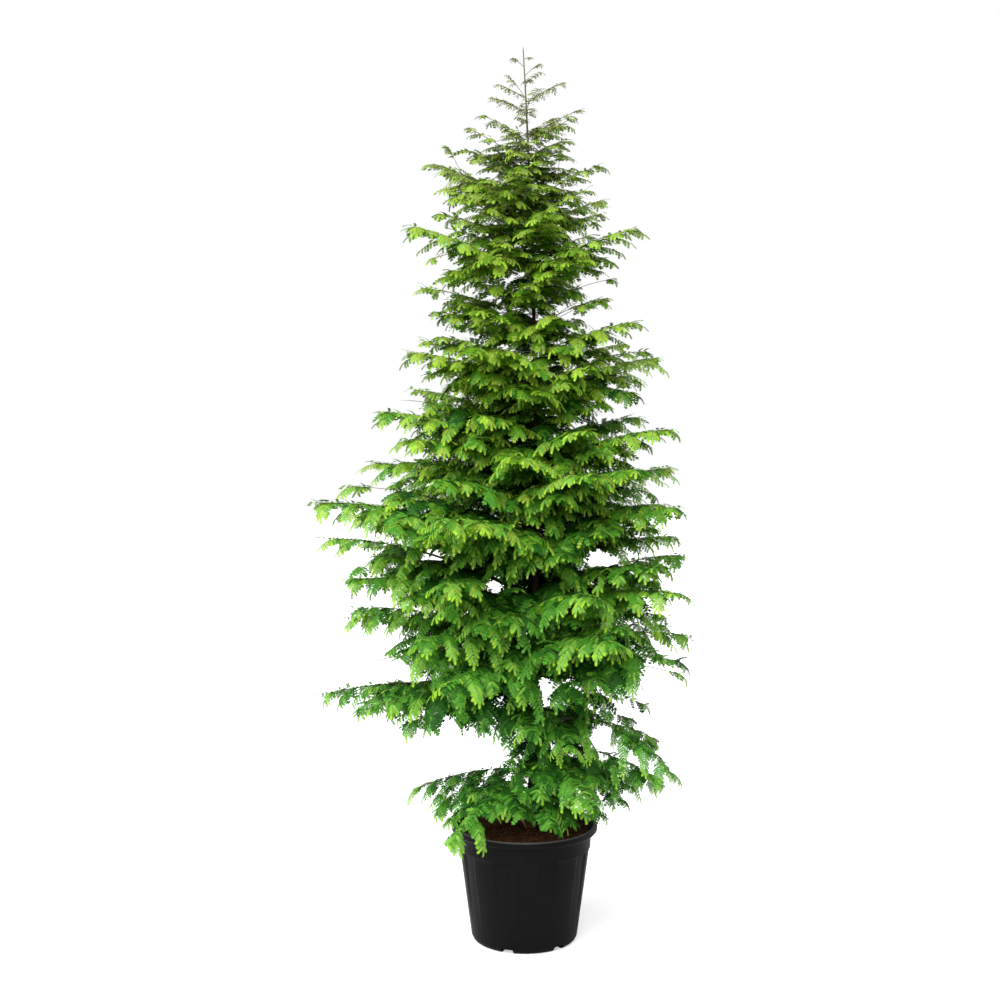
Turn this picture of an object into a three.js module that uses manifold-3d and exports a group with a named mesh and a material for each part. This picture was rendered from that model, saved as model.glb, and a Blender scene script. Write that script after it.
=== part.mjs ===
// A young dawn redwood in a black nursery pot: trunk, boughs, masses of feathery foliage, soil and pot.
// Millimetres, +Z up. The origin is the middle of the pot's flat underside. +X is to the right, -Y the front.
import * as THREE from 'three';
import { mergeGeometries, mergeVertices } from 'three/addons/utils/BufferGeometryUtils.js';
import Module from 'manifold-3d';

const wasm = await Module();
wasm.setup();

// Driving dimensions
const SEAT_GAP = 0.3;        // clearance between two pieces that touch on the real plant
const SLIVER = 0.05;         // smallest detail kept where two pieces are fused
const SEED = 7;              // of the branching rule

const POT = {
  height: 305,
  rimRadius: 190,
  lipHeight: 24,             // of the rolled lip
  lipWidth: 11,              // of its flat top
  lipChamfer: 12,            // height of the slope under it
  edge: 3,                   // rounding of its edges
  collarRadius: 174,         // under the lip
  collarHeight: 36,          // of the smooth band between lip and flutes
  collarStep: 5,             // from that band in to the fluted wall
  footRadius: 139,           // where the wall turns in to the base
  baseRadius: 124,           // of the flat underside
  footHeight: 20,            // of the rounded foot
  footSteps: 3,              // facets of that rounding
  wall: 7,
  floor: 16,
  sides: 32,
};
const FLUTE = { count: 9, width: 50, depth: 4.5, phase: -110, fadeHeight: 55 };
const NOTCH = { count: 6, width: 32, height: 13, reach: 20, phase: -110 };
const SOIL = { drop: 12, sag: 5, flatRadius: 70 };   // below the lip, at the wall, and level round the trunk

const TRUNK = {
  foot: new THREE.Vector3(17, 4, 0),       // x and y where it leaves the soil
  tip: new THREE.Vector3(-6, 0, 2293),
  bow: new THREE.Vector3(50, 14, 1350),    // pulls the middle to the right
  footRadius: 12,
  tipRadius: 1.3,
  flare: 7,                                // added radius at the soil
  flareHeight: 55,
  sides: 9,
  steps: 14,
};

// Tips of the boughs that make the crown's outline seen from the front, from the top down: [reach, height]
// as they appear at the pot's axis to an eye this far in front of it and this high.
const EYE = { distance: 4000, height: 1450 };
const LEFT_TIPS = [
  [64, 2199], [150, 2094], [232, 2003], [300, 1849], [265, 1691], [307, 1528], [292, 1432], [381, 1375],
  [393, 1245], [558, 1142], [515, 1050], [472, 942], [457, 843], [411, 726], [526, 642], [430, 600],
  [290, 392],
];
const RIGHT_TIPS = [
  [37, 2231], [143, 2139], [189, 2000], [202, 1912], [279, 1842], [216, 1665], [285, 1605], [345, 1513],
  [380, 1330], [383, 1232], [399, 1129], [418, 1007], [400, 905], [436, 796], [403, 694], [352, 520],
  [395, 414],
];
const PROFILE_SWING = 40;    // degrees that these boughs turn forward and back by turns, at most
const SWING_REACH = 330;     // a longer bough turns less
const LEAST_SWING = 0.6;     // share of its most that a bough turns at least

// The boughs before and behind the trunk, by twos, from the top down.
const FACING = { count: 18, top: 2040, bottom: 330, swing: 34 };

// How far a bough climbs from trunk to tip, as a share of its reach, by the tip's height.
const LIFT = [[330, -0.3], [380, -0.22], [640, 0], [850, 0.2], [1150, 0.28], [1900, 0.36], [2300, 0.6]];
const START_SPACING = 13;    // least height on the trunk between one bough and the next
const ARCH = 0.07;           // rise of a bough's middle above its chord, as a share of its reach

const BOUGH = {
  leastReach: 486,           // a longer bough than this shows bare wood next to the trunk
  bareShare: 0.3,            // of its length
  stout: 0.0125,             // base radius as a share of its length
  least: 2.4,                // smallest base radius
  trunkShare: 0.62,          // of the trunk's radius at most
  sides: 6,
  steps: 4,
};
const STEM_TIP_RADIUS = 1.4;
// Sprays stand out along both sides of a stem by turns, and the fan of a bough narrows towards its tip
const SPRAY = {
  spacing: 76,               // along one side of a stem
  fan: 0.5,                  // longest spray as a share of its stem's length
  longest: 205,
  least: 34,
  taper: 0.74,               // how much shorter the last spray is than the first
  fromTrunk: 60,             // from the trunk's axis to the first one
  fromBough: 0.05,           // from a bare bough's end to the first one, as a share of the bough
  last: 0.93,                // place of the last one as a share of the stem
  angle: 56,                 // degrees from the stem
  droop: 0.95,               // fall of a spray's tip as a share of its length
  web: 0.42,                 // width left between two sprays as a share of their length
  unlike: { angle: 3, droop: 0.12, length: 0.14 },   // how far one may differ: in degrees, and as shares
};
const TWIG = {
  boughEach: 160,            // length of bough to each pair of twigs
  places: [0.08, 0.34, 0.58],   // of the pairs along the foliage
  stagger: 0.05,             // between the two of a pair and its place
  lengthShare: 0.62,         // of the bough left beyond the twig
  angle: 50,                 // degrees from the bough
  droop: 0.3,                // fall of its end as a share of its length
  elbow: 0.55,               // share of it that runs straight before it droops
  radiusShare: 0.7,          // of the bough's radius there
  sprayGain: 1.3,            // its sprays are this much longer for its length than a bough's
  sunk: 0.12,                // share of the twig before its first spray
  unlike: { angle: 6, length: 0.1 },
};
// Sizes tried, in turn, for a spray that would leave its bough's own space
const SHRINKS = [1, 0.9, 0.8, 0.7, 0.6, 0.5, 0.4, 0.3];
const OWN_SPACE = 3;         // a spray lies this much nearer its own bough's hanging space than any other
const HANG = 45;             // depth of the middle of that space under the bough
const LIMB_CLEAR = 7;        // from a spray to the trunk's or pot's surface
const AXIS_STEP = 22;        // between the points that stand for a bough's line
const KEY = { left: 100, right: 200, facing: 300, section: 0.31, side: 0.13, pair: 7.7, twin: 1.9 };

const UP = new THREE.Vector3(0, 0, 1);

// A number from 0 to 1 that is fixed by its keys
function chance(...keys) {
  const mixed = keys.reduce((sum, key, i) => sum + key * (12.9898 + 32.7 * i), SEED);
  const spread = Math.sin(mixed) * 43758.5453;
  return spread - Math.floor(spread);
}

const swing = (...keys) => 2 * chance(...keys) - 1;
const { clamp, degToRad: radians, lerp, mapLinear } = THREE.MathUtils;

// Straight-line interpolation in a table of [x, y] rows that rise in x
function lookUp(table, x) {
  const last = table.length - 1;
  if (x <= table[0][0]) return table[0][1];
  if (x >= table[last][0]) return table[last][1];
  const i = table.findIndex(([edge]) => edge >= x);
  const [x0, y0] = table[i - 1];
  const [x1, y1] = table[i];
  return mapLinear(x, x0, x1, y0, y1);
}

// A closed three.js geometry as a solid
function solid(geometry) {
  const bare = new THREE.BufferGeometry();
  bare.setAttribute('position', geometry.getAttribute('position').clone());
  bare.setIndex(geometry.index);
  const merged = mergeVertices(bare, 1e-4);
  const triangles = [];
  const corners = merged.index.array;
  for (let i = 0; i < corners.length; i += 3) {
    const [a, b, c] = corners.subarray(i, i + 3);
    if (a !== b && b !== c && a !== c) triangles.push(a, b, c);
  }
  return new wasm.Manifold(new wasm.Mesh({
    numProp: 3,
    vertProperties: new Float32Array(merged.getAttribute('position').array),
    triVerts: new Uint32Array(triangles),
  }));
}

// The one body of a fused solid: loose scraps are dropped and sealed hollows filled
function wholeBody(fused) {
  return fused.decompose().reduce((best, body) => (body.volume() > best.volume() ? body : best));
}

function namedMesh(name, shape, material) {
  const { numProp, vertProperties, triVerts } = wholeBody(shape.simplify(SLIVER)).getMesh();
  const position = new THREE.BufferAttribute(new Float32Array(vertProperties), numProp);
  const geometry = new THREE.BufferGeometry().setAttribute('position', position);
  geometry.setIndex(new THREE.BufferAttribute(new Uint32Array(triVerts), 1));
  geometry.computeVertexNormals();
  const mesh = new THREE.Mesh(geometry, material);
  mesh.name = name;
  return mesh;
}

const finish = (color, roughness) => new THREE.MeshStandardMaterial({ color, roughness, metalness: 0 });
const MATERIAL = {
  pot: finish('#1e201f', 0.55),
  soil: finish('#3a2012', 0.95),
  bark: finish('#5a3c28', 0.9),
  foliage: finish('#4c8f22', 0.6),
};

// Pot and soil

const wallFoot = { radius: POT.footRadius, z: POT.footHeight };
const collarTop = POT.height - POT.lipHeight;
const fluteTop = collarTop - POT.collarHeight;
const wallHead = { radius: POT.collarRadius - POT.collarStep, z: fluteTop };

const wallRadius = (z) => mapLinear(z, wallFoot.z, wallHead.z, wallFoot.radius, wallHead.radius);
const innerRadius = (z) => wallRadius(z) - POT.wall;

function turned(profile) {
  const points = profile.map(([radius, z]) => new THREE.Vector2(radius, z));
  return new THREE.LatheGeometry(points, POT.sides).rotateX(Math.PI / 2);
}

// A box whose inner face stands on a line up the wall, turned to its place round the pot
function wallCutter(width, depth, from, to, angle) {
  const rise = Math.hypot(to.radius - from.radius, to.z - from.z);
  const lean = Math.atan2(to.radius - from.radius, to.z - from.z);
  return new THREE.BoxGeometry(depth, width, rise)
    .translate(depth / 2, 0, rise / 2)
    .rotateY(lean)
    .translate(from.radius, 0, from.z)
    .rotateZ(angle);
}

// The rounded foot, from the flat underside up to the wall
function footArc() {
  return Array.from({ length: POT.footSteps + 1 }, (unused, i) => {
    const turn = (Math.PI / 2) * (i / POT.footSteps);
    const radius = lerp(POT.baseRadius, POT.footRadius, Math.sin(turn));
    return [radius, POT.footHeight * (1 - Math.cos(turn))];
  });
}

function potSolid() {
  const { height, rimRadius, lipChamfer, edge, footRadius, floor } = POT;
  const lipInner = rimRadius - POT.lipWidth;
  let pot = solid(turned([
    [0, 0], ...footArc(),
    [wallHead.radius, fluteTop], [wallHead.radius + edge, fluteTop + 2 * edge], [POT.collarRadius, collarTop],
    [rimRadius, collarTop + lipChamfer], [rimRadius, height - edge], [rimRadius - edge, height],
    [lipInner, height], [innerRadius(collarTop), collarTop], [innerRadius(floor), floor], [0, floor],
  ]));
  for (let i = 0; i < FLUTE.count; i++) {
    const angle = radians(FLUTE.phase + (360 * i) / FLUTE.count);
    const from = { radius: wallRadius(FLUTE.fadeHeight), z: FLUTE.fadeHeight };
    const to = { radius: wallHead.radius - FLUTE.depth, z: fluteTop };
    pot = pot.subtract(solid(wallCutter(FLUTE.width, POT.wall * 3, from, to, angle)));
  }
  for (let i = 0; i < NOTCH.count; i++) {
    const angle = radians(NOTCH.phase + (360 * i) / NOTCH.count);
    const from = { radius: footRadius - NOTCH.reach, z: -NOTCH.height };
    const to = { radius: from.radius, z: NOTCH.height };
    pot = pot.subtract(solid(wallCutter(NOTCH.width, NOTCH.reach * 2, from, to, angle)));
  }
  return pot;
}

const soilTop = POT.height - SOIL.drop;

function soilSolid() {
  const edge = soilTop - SOIL.sag;
  return solid(turned([
    [0, POT.floor + SEAT_GAP], [innerRadius(POT.floor) - SEAT_GAP, POT.floor + SEAT_GAP],
    [innerRadius(collarTop) - SEAT_GAP, collarTop], [innerRadius(collarTop) - SEAT_GAP, edge],
    [SOIL.flatRadius, soilTop], [0, soilTop],
  ]));
}

// Trunk

const trunkFoot = TRUNK.foot.clone().setZ(soilTop + SEAT_GAP);
const trunkCurve = new THREE.QuadraticBezierCurve3(trunkFoot, TRUNK.bow, TRUNK.tip);

// Point on the trunk's line at a height
function trunkAt(z) {
  let low = 0;
  let high = 1;
  for (let i = 0; i < 30; i++) {
    const middle = (low + high) / 2;
    if (trunkCurve.getPoint(middle).z < z) low = middle;
    else high = middle;
  }
  return trunkCurve.getPoint(low).setZ(z);
}

function trunkRadius(z) {
  const share = (z - trunkFoot.z) / (TRUNK.tip.z - trunkFoot.z);
  const flare = TRUNK.flare * Math.exp(-(z - trunkFoot.z) / (TRUNK.flareHeight / 2));
  return lerp(TRUNK.footRadius, TRUNK.tipRadius, share) + flare;
}

// The trunk in level rings, grown by a margin all round; the rings crowd together in the root flare
function trunkSolid(margin) {
  const geometry = new THREE.CylinderGeometry(1, 1, 1, TRUNK.sides, TRUNK.steps).rotateX(Math.PI / 2);
  const position = geometry.getAttribute('position');
  for (let i = 0; i < position.count; i++) {
    const share = (position.getZ(i) + 0.5) ** 1.5;
    const z = lerp(trunkFoot.z, TRUNK.tip.z, share);
    const centre = trunkAt(z);
    const radius = trunkRadius(z) + margin;
    position.setXYZ(i, centre.x + radius * position.getX(i), centre.y + radius * position.getY(i), z);
  }
  return solid(geometry);
}

// Boughs, as lines from the trunk to their tips

// What fixes one bough: direction and reach from the pot's axis, the tip's height and the start on the trunk
function boughPlan(name, azimuth, reach, tipHeight, key) {
  return { name, azimuth, reach, tipHeight, key, startHeight: tipHeight - lookUp(LIFT, tipHeight) * reach };
}

// Boughs seen in profile, turned forward and back by turns, whose tips still appear on the outline
function profilePlans(side, tips, facing, firstKey) {
  return tips.map(([seenReach, seenHeight], i) => {
    const most = PROFILE_SWING * Math.min(1, SWING_REACH / seenReach);
    const turn = radians(most * (i % 2 ? 1 : -1) * lerp(LEAST_SWING, 1, chance(firstKey, i)));
    const azimuth = facing + turn;
    const slope = Math.sin(azimuth) / Math.abs(Math.cos(azimuth));
    const across = seenReach / (1 - (seenReach * slope) / EYE.distance);
    const nearness = 1 + (across * slope) / EYE.distance;
    const height = EYE.height + (seenHeight - EYE.height) * nearness;
    return boughPlan(`${side}_${i + 1}`, azimuth, across / Math.cos(turn), height, firstKey + i);
  });
}

// Boughs before and behind the trunk, as long as the outline is wide at their height
function facingPlans(firstKey) {
  const rising = (tips) => tips.map(([reach, height]) => [height, reach]).reverse();
  const [left, right] = [rising(LEFT_TIPS), rising(RIGHT_TIPS)];
  return Array.from({ length: FACING.count }, (unused, i) => {
    const height = lerp(FACING.top, FACING.bottom, i / (FACING.count - 1));
    const reach = (lookUp(left, height) + lookUp(right, height)) / 2;
    const front = i % 4 < 2;
    const turn = FACING.swing * (i % 2 ? -1 : 1) * lerp(LEAST_SWING, 1, chance(firstKey, i));
    const azimuth = radians((front ? -90 : 90) + turn);
    const name = `${front ? 'front' : 'back'}_${i + 1}`;
    return boughPlan(name, azimuth, reach, height, firstKey + i);
  });
}

// From the lowest up, each bough leaves the trunk a little above the one before it
function spreadStarts(plans) {
  const rising = [...plans].sort((a, b) => a.startHeight - b.startHeight);
  rising.slice(1).forEach((plan, i) => {
    plan.startHeight = Math.max(plan.startHeight, rising[i].startHeight + START_SPACING);
  });
  return plans;
}

function boughOf(plan) {
  const { azimuth, reach, tipHeight, startHeight } = plan;
  const start = trunkAt(startHeight);
  const tip = new THREE.Vector3(reach * Math.cos(azimuth), reach * Math.sin(azimuth), tipHeight);
  const middle = start.clone().lerp(tip, 0.5);
  middle.z += 2 * ARCH * reach;
  const curve = new THREE.QuadraticBezierCurve3(start, middle, tip);
  const length = curve.getLength();
  const line = curve.getSpacedPoints(Math.ceil(length / AXIS_STEP));
  const stoutest = trunkRadius(startHeight) * BOUGH.trunkShare;
  const radius = Math.min(Math.max(length * BOUGH.stout, BOUGH.least), stoutest);
  const bareShare = reach > BOUGH.leastReach ? BOUGH.bareShare : 0;
  return { ...plan, curve, line, length, radius, bareShare };
}

const boughs = spreadStarts([
  ...profilePlans('left', LEFT_TIPS, Math.PI, KEY.left),
  ...profilePlans('right', RIGHT_TIPS, 0, KEY.right),
  ...facingPlans(KEY.facing),
]).map(boughOf);

// The bough's own frame at a share of its length: along it, level across it, and out of its upper face
function boughFrame(curve, share) {
  const at = curve.getPointAt(share);
  const along = curve.getTangentAt(share);
  const across = along.clone().cross(UP).normalize();
  return { at, along, across, over: across.clone().cross(along) };
}

// A tapering limb along a curve, from one share of its length to another
function limb(curve, from, to, startRadius, endRadius, sides, steps) {
  const geometry = new THREE.CylinderGeometry(1, 1, 1, sides, steps).rotateX(Math.PI / 2);
  const position = geometry.getAttribute('position');
  for (let i = 0; i < position.count; i++) {
    const share = position.getZ(i) + 0.5;
    const { at, across, over } = boughFrame(curve, lerp(from, to, share));
    const radius = lerp(startRadius, endRadius, share);
    at.addScaledVector(across, -radius * position.getX(i)).addScaledVector(over, radius * position.getY(i));
    position.setXYZ(i, at.x, at.y, at.z);
  }
  return solid(geometry);
}

// Foliage

function distanceToLine(line, point) {
  return Math.min(...line.map((corner) => corner.distanceTo(point)));
}

function clearOfLimbs(point) {
  const axis = trunkAt(Math.min(point.z, TRUNK.tip.z));
  const fromTrunk = Math.hypot(point.x - axis.x, point.y - axis.y) - trunkRadius(point.z);
  const overPot = point.z > POT.height + LIMB_CLEAR;
  const besidePot = Math.hypot(point.x, point.y) > POT.rimRadius + LIMB_CLEAR;
  return fromTrunk > LIMB_CLEAR && (overPot || besidePot);
}

// Whether a point lies in the space that belongs to this bough alone
function inOwnSpace(bough, point) {
  const raised = point.clone().addScaledVector(UP, HANG);
  const own = distanceToLine(bough.line, raised) + OWN_SPACE;
  return boughs.every((other) => other === bough || distanceToLine(other.line, raised) > own);
}

// Solids already in place, each with the bough it belongs to
const placed = [];

function place(shape, owner) {
  placed.push({ shape, owner, box: shape.boundingBox() });
  return shape;
}

const boxesMeet = (a, b) => a.min.every((low, i) => low < b.max[i] + 1 && b.min[i] < a.max[i] + 1);

function touchesNothing(shape, owner) {
  const box = shape.boundingBox();
  return placed.every((other) => other.owner === owner || !boxesMeet(other.box, box)
    || other.shape.minGap(shape, 1) > 2 * SEAT_GAP);
}

// The way a shoot grows from a stem: forward and to one side
function sideHeading({ along, across }, side, angle) {
  const forward = along.clone().multiplyScalar(Math.cos(angle));
  return forward.addScaledVector(across, side * Math.sin(angle));
}

// The end of a spray of a stem, drawn in until it keeps to its bough's own space
function sprayEnd(bough, at, heading, length) {
  const pointAt = (share) => at.clone().addScaledVector(heading, share * length);
  const free = (point) => clearOfLimbs(point) && inOwnSpace(bough, point);
  const shrink = SHRINKS.find((share) => free(pointAt(share)) && free(pointAt(share / 2)));
  return shrink && pointAt(shrink);
}

// The sections of a stem with sprays: a thick rib whose edges run out to the sprays' ends and back by turns
function frondRings(bough, curve, { from, first, startRadius, longest, size, key }) {
  const count = Math.max(2, Math.round(((SPRAY.last - first) * curve.getLength()) / SPRAY.spacing));
  const last = 2 * count + 1;
  return Array.from({ length: last + 1 }, (unused, i) => {
    const way = clamp((i - 1) / (last - 2), 0, 1);
    const at = i === 0 ? from : i === last ? 1 : lerp(first, SPRAY.last, way);
    const frame = boughFrame(curve, at);
    if (i === last) return { ...frame, radius: 0, edges: [frame.at, frame.at] };
    const radius = lerp(startRadius, STEM_TIP_RADIUS, at);
    const length = Math.max(longest * (1 - SPRAY.taper * way), SPRAY.least) * size;
    const edges = [-1, 1].map((side) => {
      const plain = frame.at.clone().addScaledVector(frame.across, side * radius);
      if (i === 0) return plain;
      const sprayKey = key + KEY.section * i + KEY.side * side;
      const angle = radians(SPRAY.angle + SPRAY.unlike.angle * swing(sprayKey, 1));
      const droop = SPRAY.droop * (1 + SPRAY.unlike.droop * swing(sprayKey, 2));
      const heading = sideHeading(frame, side, angle).addScaledVector(UP, -droop).normalize();
      const grows = (i + (side > 0 ? 1 : 0)) % 2 === 0;
      const share = grows ? 1 + SPRAY.unlike.length * swing(sprayKey, 3) : SPRAY.web;
      return sprayEnd(bough, frame.at, heading, length * share) ?? plain;
    });
    return { ...frame, radius, edges };
  });
}

// One face of a stem with sprays, as a sheet two cells wide that has a first row to close its flat start
function frondSheet(rings, face) {
  const sheet = new THREE.PlaneGeometry(1, 1, 2, rings.length);
  const position = sheet.getAttribute('position');
  for (let i = 0; i < position.count; i++) {
    const row = Math.floor(i / 3);
    const { at, over, radius, edges } = rings[Math.max(row - 1, 0)];
    const onRib = i % 3 === 1;
    const point = onRib ? at.clone().addScaledVector(over, row ? face * radius : 0) : edges[i % 3 ? 0 : 1];
    position.setXYZ(i, point.x, point.y, point.z);
  }
  if (face < 0) sheet.index.array.reverse();
  return sheet;
}

// A stem with sprays: it starts at one share of its curve, its sprays at another, and it ends in a point
function frond(bough, curve, plan) {
  const rings = frondRings(bough, curve, plan);
  return solid(mergeGeometries([frondSheet(rings, 1), frondSheet(rings, -1)]));
}

// The largest size at which a frond touches no other piece
function fittedFrond(bough, curve, plan) {
  const size = SHRINKS.find((share) => touchesNothing(frond(bough, curve, { ...plan, size: share }), bough));
  return size && frond(bough, curve, { ...plan, size });
}

const sprayLength = (length) => Math.min(SPRAY.fan * length, SPRAY.longest);
const foliageStart = ({ bareShare, length }) => {
  const fromTrunk = Math.min(BOUGH.bareShare, SPRAY.fromTrunk / length);
  return bareShare ? bareShare + SPRAY.fromBough : fromTrunk;
};

// A mass's stem, which goes on from the bough or starts at the trunk, with its sprays
function stemFrond(bough, trunkSeat) {
  const { curve, length, bareShare, radius, key } = bough;
  const from = bareShare ? bareShare + SEAT_GAP / length : 0;
  const plan = { from, first: foliageStart(bough), startRadius: radius, longest: sprayLength(length), key };
  const stem = fittedFrond(bough, curve, plan);
  return bareShare ? stem : wholeBody(stem.subtract(trunkSeat));
}

// The twigs of a long bough, in pairs, each with sprays of its own
function twigFronds(bough) {
  const { curve, length, key } = bough;
  const pairs = Math.min(Math.floor(length / TWIG.boughEach), TWIG.places.length);
  const fronds = TWIG.places.slice(0, pairs).flatMap((place, i) => [-1, 1].map((side) => {
    const share = lerp(foliageStart(bough), 1, place + TWIG.stagger * side);
    const frame = boughFrame(curve, share);
    const twigKey = key + KEY.pair * (i + 1) + KEY.twin * side;
    const angle = radians(TWIG.angle + TWIG.unlike.angle * swing(twigKey, 4));
    const heading = sideHeading(frame, side, angle);
    const unlike = 1 + TWIG.unlike.length * swing(twigKey, 5);
    const reach = TWIG.lengthShare * (1 - share) * length * unlike;
    const elbow = frame.at.clone().addScaledVector(heading, reach * TWIG.elbow);
    const end = frame.at.clone().addScaledVector(heading, reach).addScaledVector(UP, -TWIG.droop * reach);
    const line = new THREE.QuadraticBezierCurve3(frame.at, elbow, end);
    if (![elbow, end].every((point) => clearOfLimbs(point) && inOwnSpace(bough, point))) return undefined;
    const startRadius = TWIG.radiusShare * lerp(bough.radius, STEM_TIP_RADIUS, share);
    const longest = sprayLength(reach * TWIG.sprayGain);
    return fittedFrond(bough, line, { from: 0, first: TWIG.sunk, startRadius, longest, key: twigKey });
  }));
  return fronds.filter(Boolean).map((shape) => place(shape, bough));
}

// Assembly

const trunkSeat = trunkSolid(SEAT_GAP);
const plant = new THREE.Group();
plant.add(namedMesh('pot', place(potSolid()), MATERIAL.pot));
plant.add(namedMesh('soil', place(soilSolid()), MATERIAL.soil));
plant.add(namedMesh('trunk', trunkSolid(0), MATERIAL.bark));
for (const bough of boughs.filter(({ bareShare }) => bareShare)) {
  const endRadius = lerp(bough.radius, STEM_TIP_RADIUS, bough.bareShare);
  const wood = limb(bough.curve, 0, bough.bareShare, bough.radius, endRadius, BOUGH.sides, BOUGH.steps);
  plant.add(namedMesh(`bough_${bough.name}`, place(wood.subtract(trunkSeat), bough), MATERIAL.bark));
}
const stems = boughs.map((bough) => place(stemFrond(bough, trunkSeat), bough));
boughs.forEach((bough, i) => {
  const mass = [stems[i], ...twigFronds(bough)].reduce((fused, piece) => fused.add(piece));
  plant.add(namedMesh(`foliage_${bough.name}`, mass, MATERIAL.foliage));
});

export default plant;
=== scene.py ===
"""A young dawn redwood in a black nursery pot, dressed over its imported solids.

The branching rule of the solids is grown again here and carried on to shoots, feathers and needles.
Metres, +Z up, -Y the front. The origin is the middle of the pot's flat underside.
"""

import logging
import math
from collections.abc import Iterator
from contextlib import contextmanager
from dataclasses import dataclass, field
from enum import Enum, IntEnum
from itertools import pairwise
from typing import NamedTuple

import bmesh
import bpy
import numpy as np
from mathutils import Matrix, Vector, noise


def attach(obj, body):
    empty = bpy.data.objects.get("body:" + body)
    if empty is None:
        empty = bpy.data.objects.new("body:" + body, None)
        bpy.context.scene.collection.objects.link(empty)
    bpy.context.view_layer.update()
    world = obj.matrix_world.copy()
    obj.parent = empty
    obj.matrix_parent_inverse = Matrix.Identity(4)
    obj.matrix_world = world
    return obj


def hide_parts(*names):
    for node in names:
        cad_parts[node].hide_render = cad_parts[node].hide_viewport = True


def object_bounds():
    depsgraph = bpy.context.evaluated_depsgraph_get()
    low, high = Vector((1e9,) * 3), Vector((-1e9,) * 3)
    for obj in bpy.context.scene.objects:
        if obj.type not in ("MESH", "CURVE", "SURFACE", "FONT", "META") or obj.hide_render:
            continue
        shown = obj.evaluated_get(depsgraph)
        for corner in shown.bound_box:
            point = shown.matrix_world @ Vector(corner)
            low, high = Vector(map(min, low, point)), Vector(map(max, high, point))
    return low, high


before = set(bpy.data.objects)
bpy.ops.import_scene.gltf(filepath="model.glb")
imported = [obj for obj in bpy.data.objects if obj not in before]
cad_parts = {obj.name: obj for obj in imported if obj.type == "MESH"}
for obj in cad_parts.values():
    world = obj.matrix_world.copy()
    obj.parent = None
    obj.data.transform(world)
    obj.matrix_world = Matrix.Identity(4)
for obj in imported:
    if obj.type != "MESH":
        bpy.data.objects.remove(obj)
CAD_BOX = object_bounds()

LOG = logging.getLogger("dawn_redwood")
Array = np.ndarray
Object = bpy.types.Object
Material = bpy.types.Material
Pair = tuple[float, float]
Triple = tuple[float, float, float]
Pairs = tuple[Pair, ...]
Triples = tuple[Triple, ...]
Colour = Triple

SEED = 7  # of the branching rule
CHANCE_WEIGHTS = (12.9898, 32.7)  # of a chance's first key, and more for each key after it
CHANCE_GAIN = 43758.5453
CURVE_SAMPLES = 121
UP = np.array([0.0, 0.0, 1.0])
STEEP = 0.97  # slope past which a line counts as upright
SEAM = np.array([0.31, -0.95, 0.02])  # a way that no limb runs along, to count its columns from
GOLDEN_ANGLE = math.radians(137.508)
BARK_LAYERS = ((9, 26, 0.6), (16, 9, 0.4))  # cells round a limb, rows to a cell and weight
CRACK_WIDTH = 0.07
PLATE_HEIGHT = 0.5  # over the depth of the cracks
WHITE = (1.0, 1.0, 1.0, 1.0)
TINY = 1e-6  # length that counts as none
BODY = "root"
EYE = (-0.064, -4.0, 1.45)  # of the camera


class Tint(Enum):
    """Colours of the foliage, by age and place; the darker greens in the inner crown are also painted shade,
    and the paler ones at the outer ends also painted light.
    """

    DEEP = "deep"
    LEAF = "leaf"
    FRESH = "fresh"
    LIME = "lime"
    OLIVE = "olive"
    KHAKI = "khaki"
    STRAW = "straw"


class Sector(Enum):
    """Sides of the crown, as the masses of the solids are named."""

    LEFT = "left"
    RIGHT = "right"
    FRONT = "front"
    BACK = "back"


class Luck(IntEnum):
    """What a chance of the branching rule decides, as its last key."""

    SPRAY_ANGLE = 1
    SPRAY_DROOP = 2
    SPRAY_SIZE = 3
    TWIG_ANGLE = 4
    TWIG_LENGTH = 5
    REACH = 6
    SHORT_DROOP = 7


TINTS = list(Tint)
SECTORS = list(Sector)
BRIGHTER = {
    Tint.DEEP: Tint.LEAF,
    Tint.LEAF: Tint.FRESH,
    Tint.FRESH: Tint.LIME,
    Tint.LIME: Tint.LIME,
    Tint.OLIVE: Tint.KHAKI,
    Tint.KHAKI: Tint.LIME,
    Tint.STRAW: Tint.KHAKI,
}


# Numbers and vectors

def chance(*keys: float) -> float:
    """Draws a number that is fixed by its keys.

    Args:
        keys: what the draw is for.

    Returns:
        A number from 0 to 1.
    """
    first, more = CHANCE_WEIGHTS
    mixed = SEED + sum(key * (first + more * i) for i, key in enumerate(keys))
    spread = math.sin(mixed) * CHANCE_GAIN
    return spread - math.floor(spread)


def swing(*keys: float) -> float:
    """Returns a number from -1 to 1 that is fixed by its keys."""
    return 2 * chance(*keys) - 1


def lerp(low: float, high: float, share: float) -> float:
    """Returns the value a share of the way from low to high."""
    return low + (high - low) * share


def unit(vectors: Array) -> Array:
    """Returns the vectors at length one."""
    return vectors / np.maximum(np.linalg.norm(vectors, axis=-1, keepdims=True), 1e-12)


def linear(colour: Colour) -> tuple[float, float, float, float]:
    """Turns a screen colour into the shader's own.

    Args:
        colour: red, green and blue from 0 to 255, as on a screen.

    Returns:
        Linear red, green, blue and an alpha of one.
    """
    shares = [value / 255 for value in colour]
    red, green, blue = [s / 12.92 if s < 0.04045 else ((s + 0.055) / 1.055) ** 2.4 for s in shares]
    return red, green, blue, 1.0


@dataclass
class Frame:
    """A point of a stem with its own directions there."""

    at: Array
    along: Array
    across: Array  # level
    over: Array  # out of the upper face

    def sideways(self, side: int, angle: float) -> Array:
        """Returns the way a shoot grows from here: forward and to one side."""
        return self.along * math.cos(angle) + self.across * side * math.sin(angle)


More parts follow.
